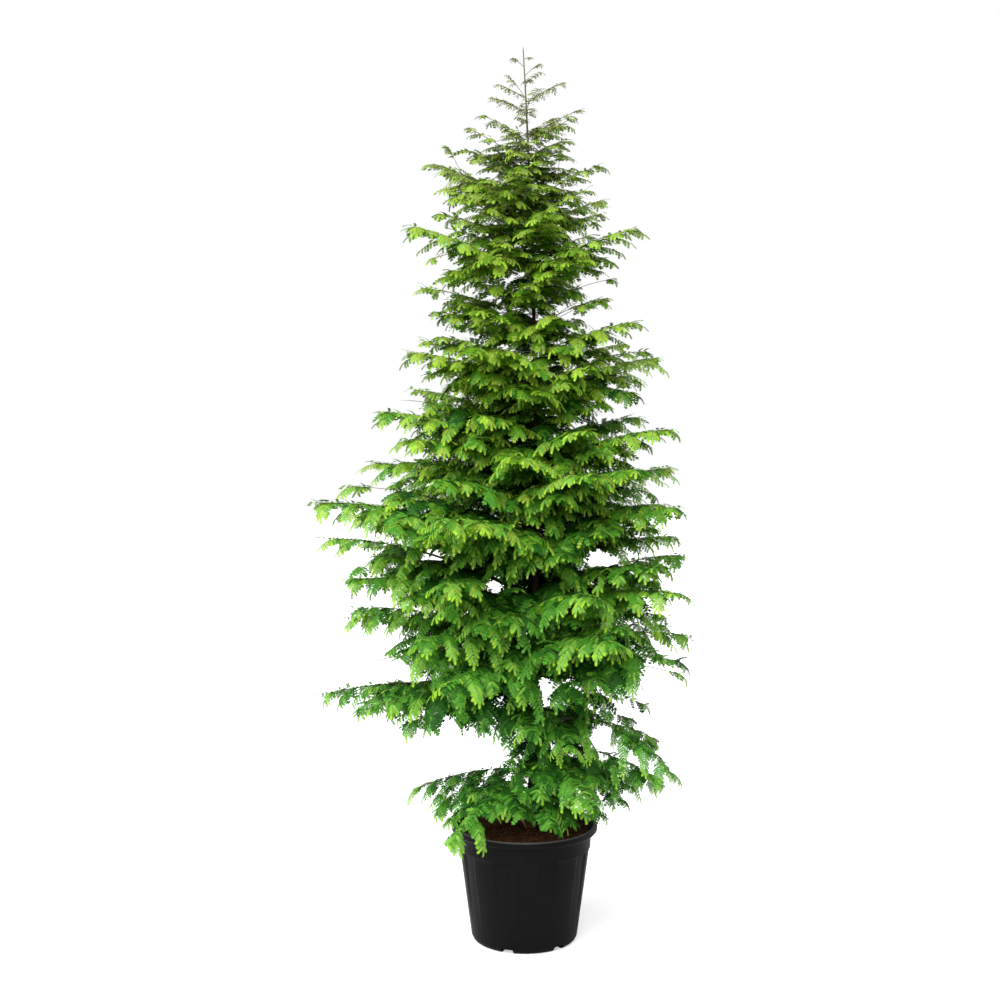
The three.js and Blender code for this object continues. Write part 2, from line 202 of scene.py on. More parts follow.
@dataclass
class Curve:
    """A quadratic curve that is read by shares of its length."""

    start: Array
    middle: Array
    end: Array
    length: float = field(init=False)
    params: Array = field(init=False)
    shares: Array = field(init=False)

    def __post_init__(self) -> None:
        """Measures the curve."""
        self.params = np.linspace(0, 1, CURVE_SAMPLES)
        steps = np.linalg.norm(np.diff(self.place(self.params), axis=0), axis=1)
        run = np.concatenate([[0.0], np.cumsum(steps)])
        self.length = float(run[-1])
        self.shares = run / run[-1]

    def place(self, param: Array) -> Array:
        """Returns points at the curve's own parameter."""
        t = np.asarray(param, float)[..., None]
        return (1 - t) ** 2 * self.start + 2 * t * (1 - t) * self.middle + t ** 2 * self.end

    def points(self, share: Array) -> Array:
        """Returns points at shares of the length."""
        return self.place(np.interp(share, self.shares, self.params))

    def frame(self, share: float) -> Frame:
        """Reads one place of the curve.

        Args:
            share: of the length.

        Returns:
            The point with its directions.
        """
        t = np.interp(share, self.shares, self.params)
        along = unit((1 - t) * (self.middle - self.start) + t * (self.end - self.middle))
        across = unit(np.cross(along, UP))
        return Frame(self.points(share), along, across, np.cross(across, along))


# Meshes

def deselect() -> None:
    """Leaves nothing selected, so that an operator acts on one new piece alone."""
    bpy.ops.object.select_all(action="DESELECT")


def named(name: str) -> Object:
    """Names the object that was just added.

    Args:
        name: the piece's name.

    Returns:
        The object.
    """
    piece = bpy.context.active_object
    piece.name = piece.data.name = name
    return piece


@contextmanager
def edit_mode() -> Iterator[None]:
    """Opens the active piece in edit mode with all of it selected, and closes it after the block."""
    bpy.ops.object.mode_set(mode="EDIT")
    bpy.ops.mesh.select_all(action="SELECT")
    yield
    bpy.ops.object.mode_set(mode="OBJECT")


def face_outwards() -> None:
    """Turns all faces of the piece in edit mode outwards."""
    bpy.ops.mesh.select_all(action="SELECT")
    bpy.ops.mesh.normals_make_consistent(inside=False)


def select_where(piece: Object, chosen: Array) -> None:
    """Selects vertices of the piece in edit mode.

    Args:
        piece: the object that is in edit mode.
        chosen: one truth value for each vertex.
    """
    shape = bmesh.from_edit_mesh(piece.data)
    bpy.ops.mesh.select_all(action="DESELECT")
    shape.verts.ensure_lookup_table()
    for vertex, wanted in zip(shape.verts, chosen):
        vertex.select = bool(wanted)
    shape.select_flush(True)
    bmesh.update_edit_mesh(piece.data)


def corners_of(piece: Object) -> Array:
    """Reads the places of all vertices.

    Args:
        piece: an object in object mode.

    Returns:
        One row of x, y, z for each vertex.
    """
    places = np.empty(len(piece.data.vertices) * 3, np.float32)
    piece.data.vertices.foreach_get("co", places)
    return places.reshape(-1, 3).astype(float)


def move_corners(piece: Object, places: Array) -> None:
    """Sets the places of all vertices of a piece in object mode."""
    piece.data.vertices.foreach_set("co", places.astype(np.float32).ravel())
    piece.data.update()


def mesh_of_faces(name: str, places: Array, faces: Array) -> Object:
    """Makes one mesh from arrays.

    Args:
        name: the piece's name.
        places: one row of x, y, z for each vertex.
        faces: one row of vertex numbers for each face, all of the same number of corners.

    Returns:
        The new object, linked to the scene.
    """
    count, sides = faces.shape
    mesh = bpy.data.meshes.new(name)
    mesh.vertices.add(len(places))
    mesh.vertices.foreach_set("co", places.astype(np.float32).ravel())
    mesh.loops.add(count * sides)
    mesh.loops.foreach_set("vertex_index", faces.astype(np.int32).ravel())
    mesh.polygons.add(count)
    mesh.polygons.foreach_set("loop_start", np.arange(0, count * sides, sides, dtype=np.int32))
    mesh.update(calc_edges=True)
    piece = bpy.data.objects.new(name, mesh)
    bpy.context.scene.collection.objects.link(piece)
    return piece


def loose_faces(name: str, corners: Array) -> Object:
    """Makes one mesh of faces that share no corner, from faces by corners by x, y, z."""
    count, sides = corners.shape[:2]
    return mesh_of_faces(name, corners.reshape(-1, 3), np.arange(count * sides).reshape(count, sides))


def tubes(centres: Array, radii: Array, sides: int) -> tuple[Array, Array]:
    """Sweeps rings along many lines at once; each tube ends in a point and is closed at its foot.

    Args:
        centres: tubes by points by x, y, z; the last point is the tip.
        radii: tubes by points; the tip's is not used.
        sides: corners of each ring.

    Returns:
        The vertices, and the triangles as rows of vertex numbers.
    """
    count, points = centres.shape[:2]
    along = unit(np.gradient(centres, axis=1))
    upright = np.abs(along[..., 2:]) > STEEP
    level = unit(np.cross(along, np.where(upright, np.array([1.0, 0.0, 0.0]), UP)))
    over = np.cross(level, along)
    turns = np.arange(sides) * 2 * math.pi / sides
    ring = level[:, :, None] * np.cos(turns)[:, None] + over[:, :, None] * np.sin(turns)[:, None]
    rings = centres[:, :-1, None] + ring[:, :-1] * radii[:, :-1, None, None]
    each = (points - 1) * sides + 1
    places = np.concatenate([rings.reshape(count, -1, 3), centres[:, -1:]], axis=1)
    pattern = []
    for row in range(points - 2):
        for i in range(sides):
            a, b = row * sides + i, row * sides + (i + 1) % sides
            pattern += [(a, a + sides, b), (b, a + sides, b + sides)]
    last = (points - 2) * sides
    pattern += [(last + i, each - 1, last + (i + 1) % sides) for i in range(sides)]
    pattern += [(0, i, i + 1) for i in range(1, sides - 1)]
    faces = np.array(pattern)[None] + (np.arange(count) * each)[:, None, None]
    return places.reshape(-1, 3), faces.reshape(-1, 3)


def joined(parts: list[tuple[Array, Array]]) -> tuple[Array, Array]:
    """Joins meshes that are given as vertices and faces.

    Args:
        parts: each mesh's two arrays.

    Returns:
        The two arrays of the whole.
    """
    places, faces = zip(*parts)
    starts = np.cumsum([0, *map(len, places[:-1])])
    return np.concatenate(places), np.concatenate([rows + start for rows, start in zip(faces, starts)])


def lathe(name: str, rings: list[Pair], segments: int) -> Object:
    """Turns a shape by extruding a circle ring by ring, and closes both ends.

    Args:
        name: the piece's name.
        rings: radius and height of each ring, in order.
        segments: corners of each ring.

    Returns:
        The new object, in object mode.
    """
    deselect()
    radius, height = rings[0]
    bpy.ops.mesh.primitive_circle_add(vertices=segments, radius=radius, fill_type="NOTHING")
    piece = named(name)
    with edit_mode():
        bpy.ops.transform.translate(value=(0, 0, height))
        bpy.ops.mesh.edge_face_add()
        bpy.ops.mesh.select_all(action="SELECT")
        bpy.ops.mesh.region_to_loop()
        for (r0, z0), (r1, z1) in pairwise(rings):
            bpy.ops.mesh.extrude_edges_move(TRANSFORM_OT_translate={"value": (0, 0, z1 - z0)})
            bpy.ops.transform.resize(value=(r1 / r0, r1 / r0, 1), center_override=(0, 0, z1))
        bpy.ops.mesh.edge_face_add()
        face_outwards()
    return piece


def rolled_limb(name: str, centres: Array, radii: Array, sides: int, relief: Array) -> Object:
    """Rolls a flat grid into a limb with a relief in its surface.

    Args:
        name: the piece's name.
        centres: points of the limb's line.
        radii: radius at each point.
        sides: columns of the grid round the limb.
        relief: points by sides, how far the surface stands out, as a share of the radius.

    Returns:
        The new object.
    """
    deselect()
    rows = len(centres)
    bpy.ops.mesh.primitive_grid_add(x_subdivisions=sides, y_subdivisions=rows - 1, size=1)
    piece = named(name)
    flat = corners_of(piece)
    column = np.rint((flat[:, 0] + 0.5) * sides).astype(int)
    row = np.rint((flat[:, 1] + 0.5) * (rows - 1)).astype(int)
    along = unit(np.gradient(centres, axis=0))
    first = unit(np.cross(along, SEAM))
    second = np.cross(along, first)
    turn = (2 * math.pi * column / sides)[:, None]
    out = first[row] * np.cos(turn) + second[row] * np.sin(turn)
    reach = radii[row] * (1 + relief[row, column % sides])
    move_corners(piece, centres[row] + out * reach[:, None])
    with edit_mode():
        bpy.ops.mesh.remove_doubles(threshold=TINY)
        bpy.ops.mesh.fill_holes(sides=0)
        face_outwards()
    bpy.ops.object.shade_smooth()
    return piece


def bark_relief(rows: int, sides: int, depth: float, seed: int) -> Array:
    """Makes long plates and cracks for a limb's surface.

    Args:
        rows: points along the limb.
        sides: columns round the limb.
        depth: how deep the cracks are, as a share of the radius.
        seed: of the random plates.

    Returns:
        Points by sides, as shares of the radius.
    """
    draw = np.random.default_rng(seed)
    plates = np.zeros((rows, sides))
    for cells, run, weight in BARK_LAYERS:
        knots = draw.random((rows // run + 3, cells))
        down = np.arange(rows) / run
        low = down.astype(int)
        part = (down - low)[:, None]
        strips = knots[low] * (1 - part) + knots[low + 1] * part
        place = np.arange(sides) * cells / sides
        left = place.astype(int)
        side = place - left
        plates += weight * (strips[:, left] * (1 - side) + strips[:, (left + 1) % cells] * side)
    cracks = -np.exp(-(((plates - 0.5) / CRACK_WIDTH) ** 2))
    return depth * (cracks + PLATE_HEIGHT * plates)


def dress(piece: Object, material: Material, slot: str, *nodes: str) -> None:
    """Gives a piece its finish and its body, and hides the solids that it stands for.

    Args:
        piece: the finished mesh.
        material: its finish.
        slot: name of the piece's material slot; not used.
        nodes: names of the solids that it replaces.
    """
    piece.data.materials.clear()
    piece.data.materials.append(material)
    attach(piece, BODY)
    if nodes:
        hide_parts(*nodes)
    LOG.info("%s: %d faces", piece.name, len(piece.data.polygons))


# Finishes

class Signal:
    """A shader socket that takes part in Python sums."""

    def __init__(self, graph: "ShaderGraph", socket: bpy.types.NodeSocket) -> None:
        """Wraps one output socket of a graph."""
        self.graph = graph
        self.socket = socket

    def __add__(self, other: "Signal | float") -> "Signal":
        """Adds."""
        return self.graph.sum_of("ADD", self, other)

    def __sub__(self, other: "Signal | float") -> "Signal":
        """Subtracts."""
        return self.graph.sum_of("SUBTRACT", self, other)

    def __rsub__(self, other: float) -> "Signal":
        """Subtracts this from a number."""
        return self.graph.sum_of("SUBTRACT", other, self)

    def __mul__(self, other: "Signal | float") -> "Signal":
        """Multiplies."""
        return self.graph.sum_of("MULTIPLY", self, other)

    __radd__ = __add__
    __rmul__ = __mul__


class Grain(NamedTuple):
    """Cloudy noise in a finish."""

    waves: Triple  # to the metre on each axis
    detail: float  # how many finer layers it has
    roughness: float  # how strong those are


class ShaderGraph:
    """The nodes of one material, or of the world."""

    def __init__(self, owner: "Material | bpy.types.World") -> None:
        """Starts with no nodes.

        Args:
            owner: the material or world.
        """
        self.owner = owner
        owner.use_nodes = True
        self.tree = owner.node_tree
        self.tree.nodes.clear()

    def node(self, kind: str, settings: dict, inputs: dict) -> bpy.types.Node:
        """Adds a node.

        Args:
            kind: the node's type.
            settings: its own properties, and a ramp's stops under the key stops.
            inputs: values or signals by socket name or number.

        Returns:
            The node.
        """
        made = self.tree.nodes.new(kind)
        for key, value in settings.items():
            if key == "stops":
                self.set_stops(made.color_ramp, value)
            else:
                setattr(made, key, value)
        for key, value in inputs.items():
            if isinstance(value, Signal):
                self.tree.links.new(value.socket, made.inputs[key])
            else:
                made.inputs[key].default_value = value
        return made

    @staticmethod
    def set_stops(ramp: bpy.types.ColorRamp, stops: list[tuple[float, tuple]]) -> None:
        """Sets up a ramp.

        Args:
            ramp: a node's new ramp.
            stops: place and colour of each stop.
        """
        while len(ramp.elements) < len(stops):
            ramp.elements.new(1.0)
        for element, (place, colour) in zip(ramp.elements, stops):
            element.position = place
            element.color = colour

    def out(self, node: bpy.types.Node, socket: str | int) -> Signal:
        """Returns one output of a node as a signal."""
        return Signal(self, node.outputs[socket])

    def sum_of(self, operation: str, first: "Signal | float", second: "Signal | float") -> Signal:
        """Adds a Math node."""
        return self.out(self.node("ShaderNodeMath", {"operation": operation}, {0: first, 1: second}), 0)

    def spot(self) -> Signal:
        """Returns the point on the piece."""
        return self.out(self.node("ShaderNodeTexCoord", {}, {}), "Object")

    def noise(self, grain: Grain) -> Signal:
        """Makes cloudy noise.

        Args:
            grain: how fine and how rough it is.

        Returns:
            Values from 0 to 1.
        """
        mapped = self.node("ShaderNodeMapping", {}, {"Vector": self.spot(), "Scale": grain.waves})
        made = self.node("ShaderNodeTexNoise", {}, {
            "Vector": self.out(mapped, "Vector"), "Scale": 1.0,
            "Detail": grain.detail, "Roughness": grain.roughness})
        return self.out(made, 0)

    def tones(self, value: Signal, places: Pair, dark: Colour, light: Colour) -> Signal:
        """Returns a dark colour that turns into a light one between two places of a value."""
        stops = [(places[0], linear(dark)), (places[1], linear(light))]
        return self.out(self.node("ShaderNodeValToRGB", {"stops": stops}, {"Fac": value}), "Color")

    def rise(self, low: float, high: float) -> Signal:
        """Measures the height on the piece.

        Args:
            low: height that counts as 0.
            high: height that counts as 1.

        Returns:
            Values from 0 to 1.
        """
        height = self.out(self.node("ShaderNodeSeparateXYZ", {}, {"Vector": self.spot()}), "Z")
        made = self.node("ShaderNodeMapRange", {}, {"Value": height, "From Min": low, "From Max": high})
        return self.out(made, 0)

    def mix(self, share: Signal, first: Signal, second: tuple) -> Signal:
        """Returns one colour turned into another by a share."""
        made = self.node("ShaderNodeMix", {"data_type": "RGBA"}, {0: share, 6: first, 7: second})
        return self.out(made, 2)

    def bump(self, height: Signal, strength: float, distance: float) -> Signal:
        """Returns a normal raised by a height."""
        made = self.node("ShaderNodeBump", {}, {"Strength": strength, "Distance": distance, "Height": height})
        return self.out(made, "Normal")

    def surface(self, inputs: dict) -> Material:
        """Ends the material in one principled shader.

        Args:
            inputs: values or signals of the shader's sockets.

        Returns:
            The material.
        """
        shader = self.node("ShaderNodeBsdfPrincipled", {}, inputs)
        self.node("ShaderNodeOutputMaterial", {}, {"Surface": self.out(shader, "BSDF")})
        return self.owner


@dataclass(frozen=True)
class Finish:
    """Two close colours in one noise, with an uneven sheen."""

    name: str
    dark: Colour
    light: Colour
    grain: Grain
    places: Pair  # of the noise, where the dark turns into the light
    roughness: Pair  # least, and more by the noise
    gloss: float
    bump: Pair | None  # strength and height, if it has any

    def colour(self, graph: ShaderGraph, grain: Signal) -> Signal:
        """Returns the colour over the noise."""
        return graph.tones(grain, self.places, self.dark, self.light)

    def material(self) -> Material:
        """Builds the colours, the sheen and the bump.

        Returns:
            The material.
        """
        graph = ShaderGraph(bpy.data.materials.new(self.name))
        grain = graph.noise(self.grain)
        least, more = self.roughness
        inputs = {
            "Base Color": self.colour(graph, grain),
            "Roughness": grain * more + least,
            "Specular IOR Level": self.gloss,
        }
        if self.bump:
            inputs["Normal"] = graph.bump(grain, *self.bump)
        return graph.surface(inputs)


@dataclass(frozen=True)
class SoilFinish(Finish):
    """Damp peat in crumbs, or the bark and coir lying on it."""

    places: Pair = (0.36, 0.66)
    roughness: Pair = (0.78, 0.2)
    gloss: float = 0.15
    bump: Pair | None = (0.8, 0.003)


@dataclass(frozen=True)
class NeedleFinish(Finish):
    """Soft flat needles of one tint, in small clouds."""

    grain: Grain = Grain((70.0, 70.0, 70.0), 2.0, 0.6)
    places: Pair = (0.32, 0.68)
    roughness: Pair = (0.42, 0.2)
    gloss: float = 0.15
    bump: Pair | None = None


@dataclass(frozen=True)
class BarkFinish(Finish):
    """Stringy bark of a trunk, bough or twig: long streaks over a fibrous bump."""

    places: Pair = (0.33, 0.66)
    roughness: Pair = (0.68, 0.25)
    gloss: float = 0.2
    bump: Pair | None = (0.6, 0.002)
    cloud: Grain = Grain((30.0, 30.0, 12.0), 2.0, 0.5)
    shares: Pair = (0.7, 0.3)  # of grain and cloud in its colour
    young: Colour | None = None  # of the wood at the top, if it has any
    young_heights: Pair = (1.9, 2.2)  # where the bark turns into it
    young_least: float = 0.3  # share of it between the fibres

    def colour(self, graph: ShaderGraph, grain: Signal) -> Signal:
        """Colours the streaks, and the young wood.

        Args:
            graph: the material's nodes.
            grain: the noise of the fibres.

        Returns:
            The colour.
        """
        streaks = grain * self.shares[0] + graph.noise(self.cloud) * self.shares[1]
        bark = super().colour(graph, streaks)
        if not self.young:
            return bark
        share = graph.rise(*self.young_heights) * (grain + self.young_least)
        return graph.mix(share, bark, linear(self.young))


@dataclass(frozen=True)
class PlasticFinish:
    """Satin black plastic of a nursery pot, a little scuffed, with a painted highlight along the lip."""

    name: str = "pot_plastic"
    black: Colour = (5, 6, 5)
    worn: Colour = (13, 14, 13)
    # painted highlight: the light grey that stands for the light's glint on the lip's rounded top
    lip_highlight: Colour = (112, 112, 108)
    lip: Pair = (0.3025, 0.305)  # heights between which the lip's top carries the painted highlight
    cloud: Grain = Grain((9.0, 9.0, 7.0), 3.0, 0.55)
    scuff: Grain = Grain((160.0, 160.0, 22.0), 4.0, 0.7)
    mould: Grain = Grain((900.0, 900.0, 900.0), 1.0, 0.5)
    shares: Pair = (0.6, 0.4)  # of cloud and scuff in its colour
    places: Pair = (0.36, 0.74)
    roughness: Triple = (0.3, 0.16, 0.14)  # least, and more by cloud and scuff
    gloss: float = 0.1
    bump_shares: Pair = (0.5, 0.5)  # of mould and scuff
    bump: Pair = (0.12, 0.0006)

    def material(self) -> Material:
        """Builds clouded black, long fine scuffs, a painted highlight along the lip broken up by the scuffs,
        and a moulded grain.

        Returns:
            The material.
        """
        graph = ShaderGraph(bpy.data.materials.new(self.name))
        cloud, scuff, mould = (graph.noise(grain) for grain in (self.cloud, self.scuff, self.mould))
        wear = cloud * self.shares[0] + scuff * self.shares[1]
        black = graph.tones(wear, self.places, self.black, self.worn)
        least, by_cloud, by_scuff = self.roughness
        relief = mould * self.bump_shares[0] + scuff * self.bump_shares[1]
        return graph.surface({
            # painted highlight: that grey mixed into the black between the lip heights, patchy by the scuff
            # noise
            "Base Color": graph.mix(graph.rise(*self.lip) * scuff, black, linear(self.lip_highlight)),
            "Roughness": cloud * by_cloud + scuff * by_scuff + least,
            "Specular IOR Level": self.gloss,
            "Normal": graph.bump(relief, *self.bump),
        })


FIBRE_DETAIL = (5.0, 0.65)
CRUMB_DETAIL = (6.0, 0.7)
NEEDLE_TONES = {
    Tint.DEEP: ((30, 80, 20), (48, 102, 28)),
    Tint.LEAF: ((64, 128, 34), (88, 150, 46)),
    Tint.FRESH: ((104, 160, 52), (130, 180, 68)),
    Tint.LIME: ((136, 188, 36), (160, 204, 54)),
    Tint.OLIVE: ((82, 130, 24), (108, 154, 34)),
    Tint.KHAKI: ((126, 160, 44), (152, 180, 66)),
    Tint.STRAW: ((116, 140, 54), (144, 164, 78)),
}
TRUNK_BARK = BarkFinish("trunk_bark", (38, 25, 17), (92, 66, 46), Grain((170.0, 170.0, 14.0), *FIBRE_DETAIL),
                        young=(112, 110, 92))
BOUGH_BARK = BarkFinish("bough_bark", (50, 38, 22), (104, 82, 50), Grain((120.0, 120.0, 60.0), *FIBRE_DETAIL))
SHOOT_BARK = BarkFinish("shoot_bark", (58, 56, 24), (104, 96, 44),
                        Grain((140.0, 140.0, 140.0), *FIBRE_DETAIL), bump=(0.2, 0.002))
PEAT = SoilFinish("peat", (30, 15, 10), (86, 46, 28), Grain((140.0, 140.0, 140.0), *CRUMB_DETAIL))
CHIP = SoilFinish("bark_chips", (50, 26, 13), (112, 66, 34), Grain((220.0, 220.0, 220.0), *CRUMB_DETAIL))
COIR = SoilFinish("coir", (84, 52, 26), (140, 96, 56), Grain((160.0, 160.0, 160.0), *CRUMB_DETAIL))


# Pot and soil

@dataclass
class Pot:
    """The turned black pot: rolled lip, collar, flutes that fade downwards, round foot and drain notches."""

    height: float = 0.305
    rim_radius: float = 0.190
    lip_height: float = 0.024
    lip_width: float = 0.011
    lip_chamfer: float = 0.012
    lip_under: float = 2.5  # drop of the lip's underside inside its bead, in beads
    edge: float = 0.003  # of the rounded edges, and the bead of the lip
    collar_radius: float = 0.174
    collar_height: float = 0.036
    collar_step: float = 0.005
    collar_swell: float = 0.6  # of the edge where the wall meets the collar
    collar_draft: float = 0.001  # how much narrower the collar is under the lip
    foot_radius: float = 0.139
    base_radius: float = 0.124
    foot_height: float = 0.020
    wall: float = 0.007
    wall_rings: int = 30
    floor: float = 0.016
    flutes: int = 9
    flute_half_turn: float = 9.0
    flute_depth: float = 0.0045
    flute_steps: int = 3  # degrees over which a flute's edge slopes
    flute_phase: float = -110.0
    flute_fade: float = 0.055  # height where they end
    flute_ease: float = 0.8  # less than 1 keeps them deep further down
    notches: int = 6
    notch_width: float = 0.032
    notch_height: float = 0.013
    notch_reach: float = 0.036
    notch_out: float = 0.004  # of a notch's middle past the foot
    notch_rounds: int = 3  # faces of a notch's rounded edges
    arc_steps: tuple[int, int, int, int] = (8, 3, 5, 4)  # of the foot, and of the lip from its lower edge on
    level_digits: int = 5  # by which rings are told apart
    segments: int = 360
    smooth_angle: float = 32.0  # edges that turn less are shaded smooth

    @property
    def collar_top(self) -> float:
        """Height of the lip's lower edge."""
        return self.height - self.lip_height

    @property
    def flute_top(self) -> float:
        """Height where the flutes end under the collar."""
        return self.collar_top - self.collar_height

    def wall_radius(self, z: float) -> float:
        """Returns the plain wall's outer radius at a height."""
        share = (z - self.foot_height) / (self.flute_top - self.foot_height)
        return lerp(self.foot_radius, self.collar_radius - self.collar_step, share)

    def inner_radius(self, z: float) -> float:
        """Returns the inside radius at a height."""
        return self.wall_radius(z) - self.wall

    @staticmethod
    def arc(centre: Pair, size: Pair, turns: Pair, steps: int) -> Iterator[Pair]:
        """Yields radius and height along part of an ellipse.

        Args:
            centre: radius and height of its middle.
            size: its half width and half height.
            turns: first and last angle in degrees, from outwards and up.
            steps: pieces of the arc.
        """
        for i in range(steps + 1):
            turn = math.radians(lerp(*turns, i / steps))
            yield centre[0] + size[0] * math.cos(turn), centre[1] + size[1] * math.sin(turn)

    def profile(self) -> list[Pair]:
        """Draws the pot's section.

        Returns:
            The rings from the edge of the underside, up the outside and down the inside.
        """
        bead, shoulder = self.edge, self.collar_radius - self.collar_step
        foot_steps, low_steps, outer_steps, inner_steps = self.arc_steps
        foot_size = (self.foot_radius - self.base_radius, self.foot_height)
        lip_foot = self.collar_top + self.lip_chamfer
        outer, inner = self.rim_radius - bead, self.rim_radius - self.lip_width + bead
        heights = np.linspace(self.foot_height, self.flute_top - bead, self.wall_rings)[1:]
        return [
            *self.arc((self.base_radius, self.foot_height), foot_size, (-90, 0), foot_steps),
            *((self.wall_radius(z), z) for z in heights),
            (shoulder + self.collar_swell * bead, self.flute_top),
            (shoulder + bead, self.flute_top + bead),
            (shoulder + bead, self.flute_top + 2 * bead),
            (self.collar_radius - self.collar_draft, self.collar_top - bead),
            (self.collar_radius, self.collar_top),
            (self.rim_radius - 2 * bead, lip_foot - self.lip_under * bead),
            *self.arc((outer, lip_foot), (bead, bead), (-45, 0), low_steps),
            *self.arc((outer, self.height - bead), (bead, bead), (0, 90), outer_steps),
            *self.arc((inner, self.height - bead), (bead, bead), (90, 180), inner_steps),
            (self.inner_radius(self.collar_top), self.collar_top),
            (self.inner_radius(self.floor), self.floor),
        ]

    def press_flutes(self, piece: Object) -> None:
        """Sets the flutes back into the wall, deepest under the collar.

        Args:
            piece: the turned pot, in object mode.
        """
        places = corners_of(piece)
        turn = np.degrees(np.arctan2(places[:, 1], places[:, 0])) - self.flute_phase
        pitch = 360 / self.flutes
        off = np.abs((turn + pitch / 2) % pitch - pitch / 2)
        from_axis = np.hypot(places[:, 0], places[:, 1])
        levels = np.unique(np.round(places[:, 2], self.level_digits))
        with edit_mode():
            for z in levels[(levels > self.flute_fade) & (levels < self.flute_top)]:
                radius = self.wall_radius(z)
                same_level = np.abs(places[:, 2] - z) < 10 ** -self.level_digits
                ring = same_level & (from_axis > radius - self.wall / 2)
                share = (z - self.flute_fade) / (self.flute_top - self.flute_fade)
                scale = 1 - self.flute_depth * share ** self.flute_ease / radius / self.flute_steps
                for step in range(self.flute_steps):
                    select_where(piece, ring & (off < self.flute_half_turn - step))
                    bpy.ops.transform.resize(value=(scale, scale, 1), center_override=(0, 0, z))

    def notch_cutter(self) -> Object:
        """Builds the rounded blocks that cut the drain notches.

        Returns:
            All blocks as one object.
        """
        blocks = []
        middle = self.foot_radius + self.notch_out
        for i in range(self.notches):
            turn = math.radians(self.flute_phase + 360 * i / self.notches)
            deselect()
            bpy.ops.mesh.primitive_cube_add(
                size=1, location=(middle * math.cos(turn), middle * math.sin(turn), 0), rotation=(0, 0, turn),
                scale=(2 * self.notch_reach, self.notch_width, 2 * self.notch_height))
            blocks.append(bpy.context.active_object)
        for block in blocks:
            block.select_set(True)
        bpy.context.view_layer.objects.active = blocks[0]
        bpy.ops.object.join()
        cutter = bpy.context.active_object
        bpy.ops.object.transform_apply(location=True, rotation=True, scale=True)
        round_off = cutter.modifiers.new("round", "BEVEL")
        round_off.width = self.edge
        round_off.segments = self.notch_rounds
        bpy.ops.object.modifier_apply(modifier=round_off.name)
        return cutter

    def build(self) -> None:
        """Turns, flutes and notches the pot."""
        piece = lathe("pot_shell", self.profile(), self.segments)
        self.press_flutes(piece)
        cutter = self.notch_cutter()
        deselect()
        bpy.context.view_layer.objects.active = piece
        piece.select_set(True)
        cut = piece.modifiers.new("notches", "BOOLEAN")
        cut.operation = "DIFFERENCE"
        cut.object = cutter
        bpy.ops.object.modifier_apply(modifier=cut.name)
        bpy.data.objects.remove(cutter)
        bpy.ops.object.shade_smooth_by_angle(angle=math.radians(self.smooth_angle))
        dress(piece, PlasticFinish().material(), "pot", "pot")


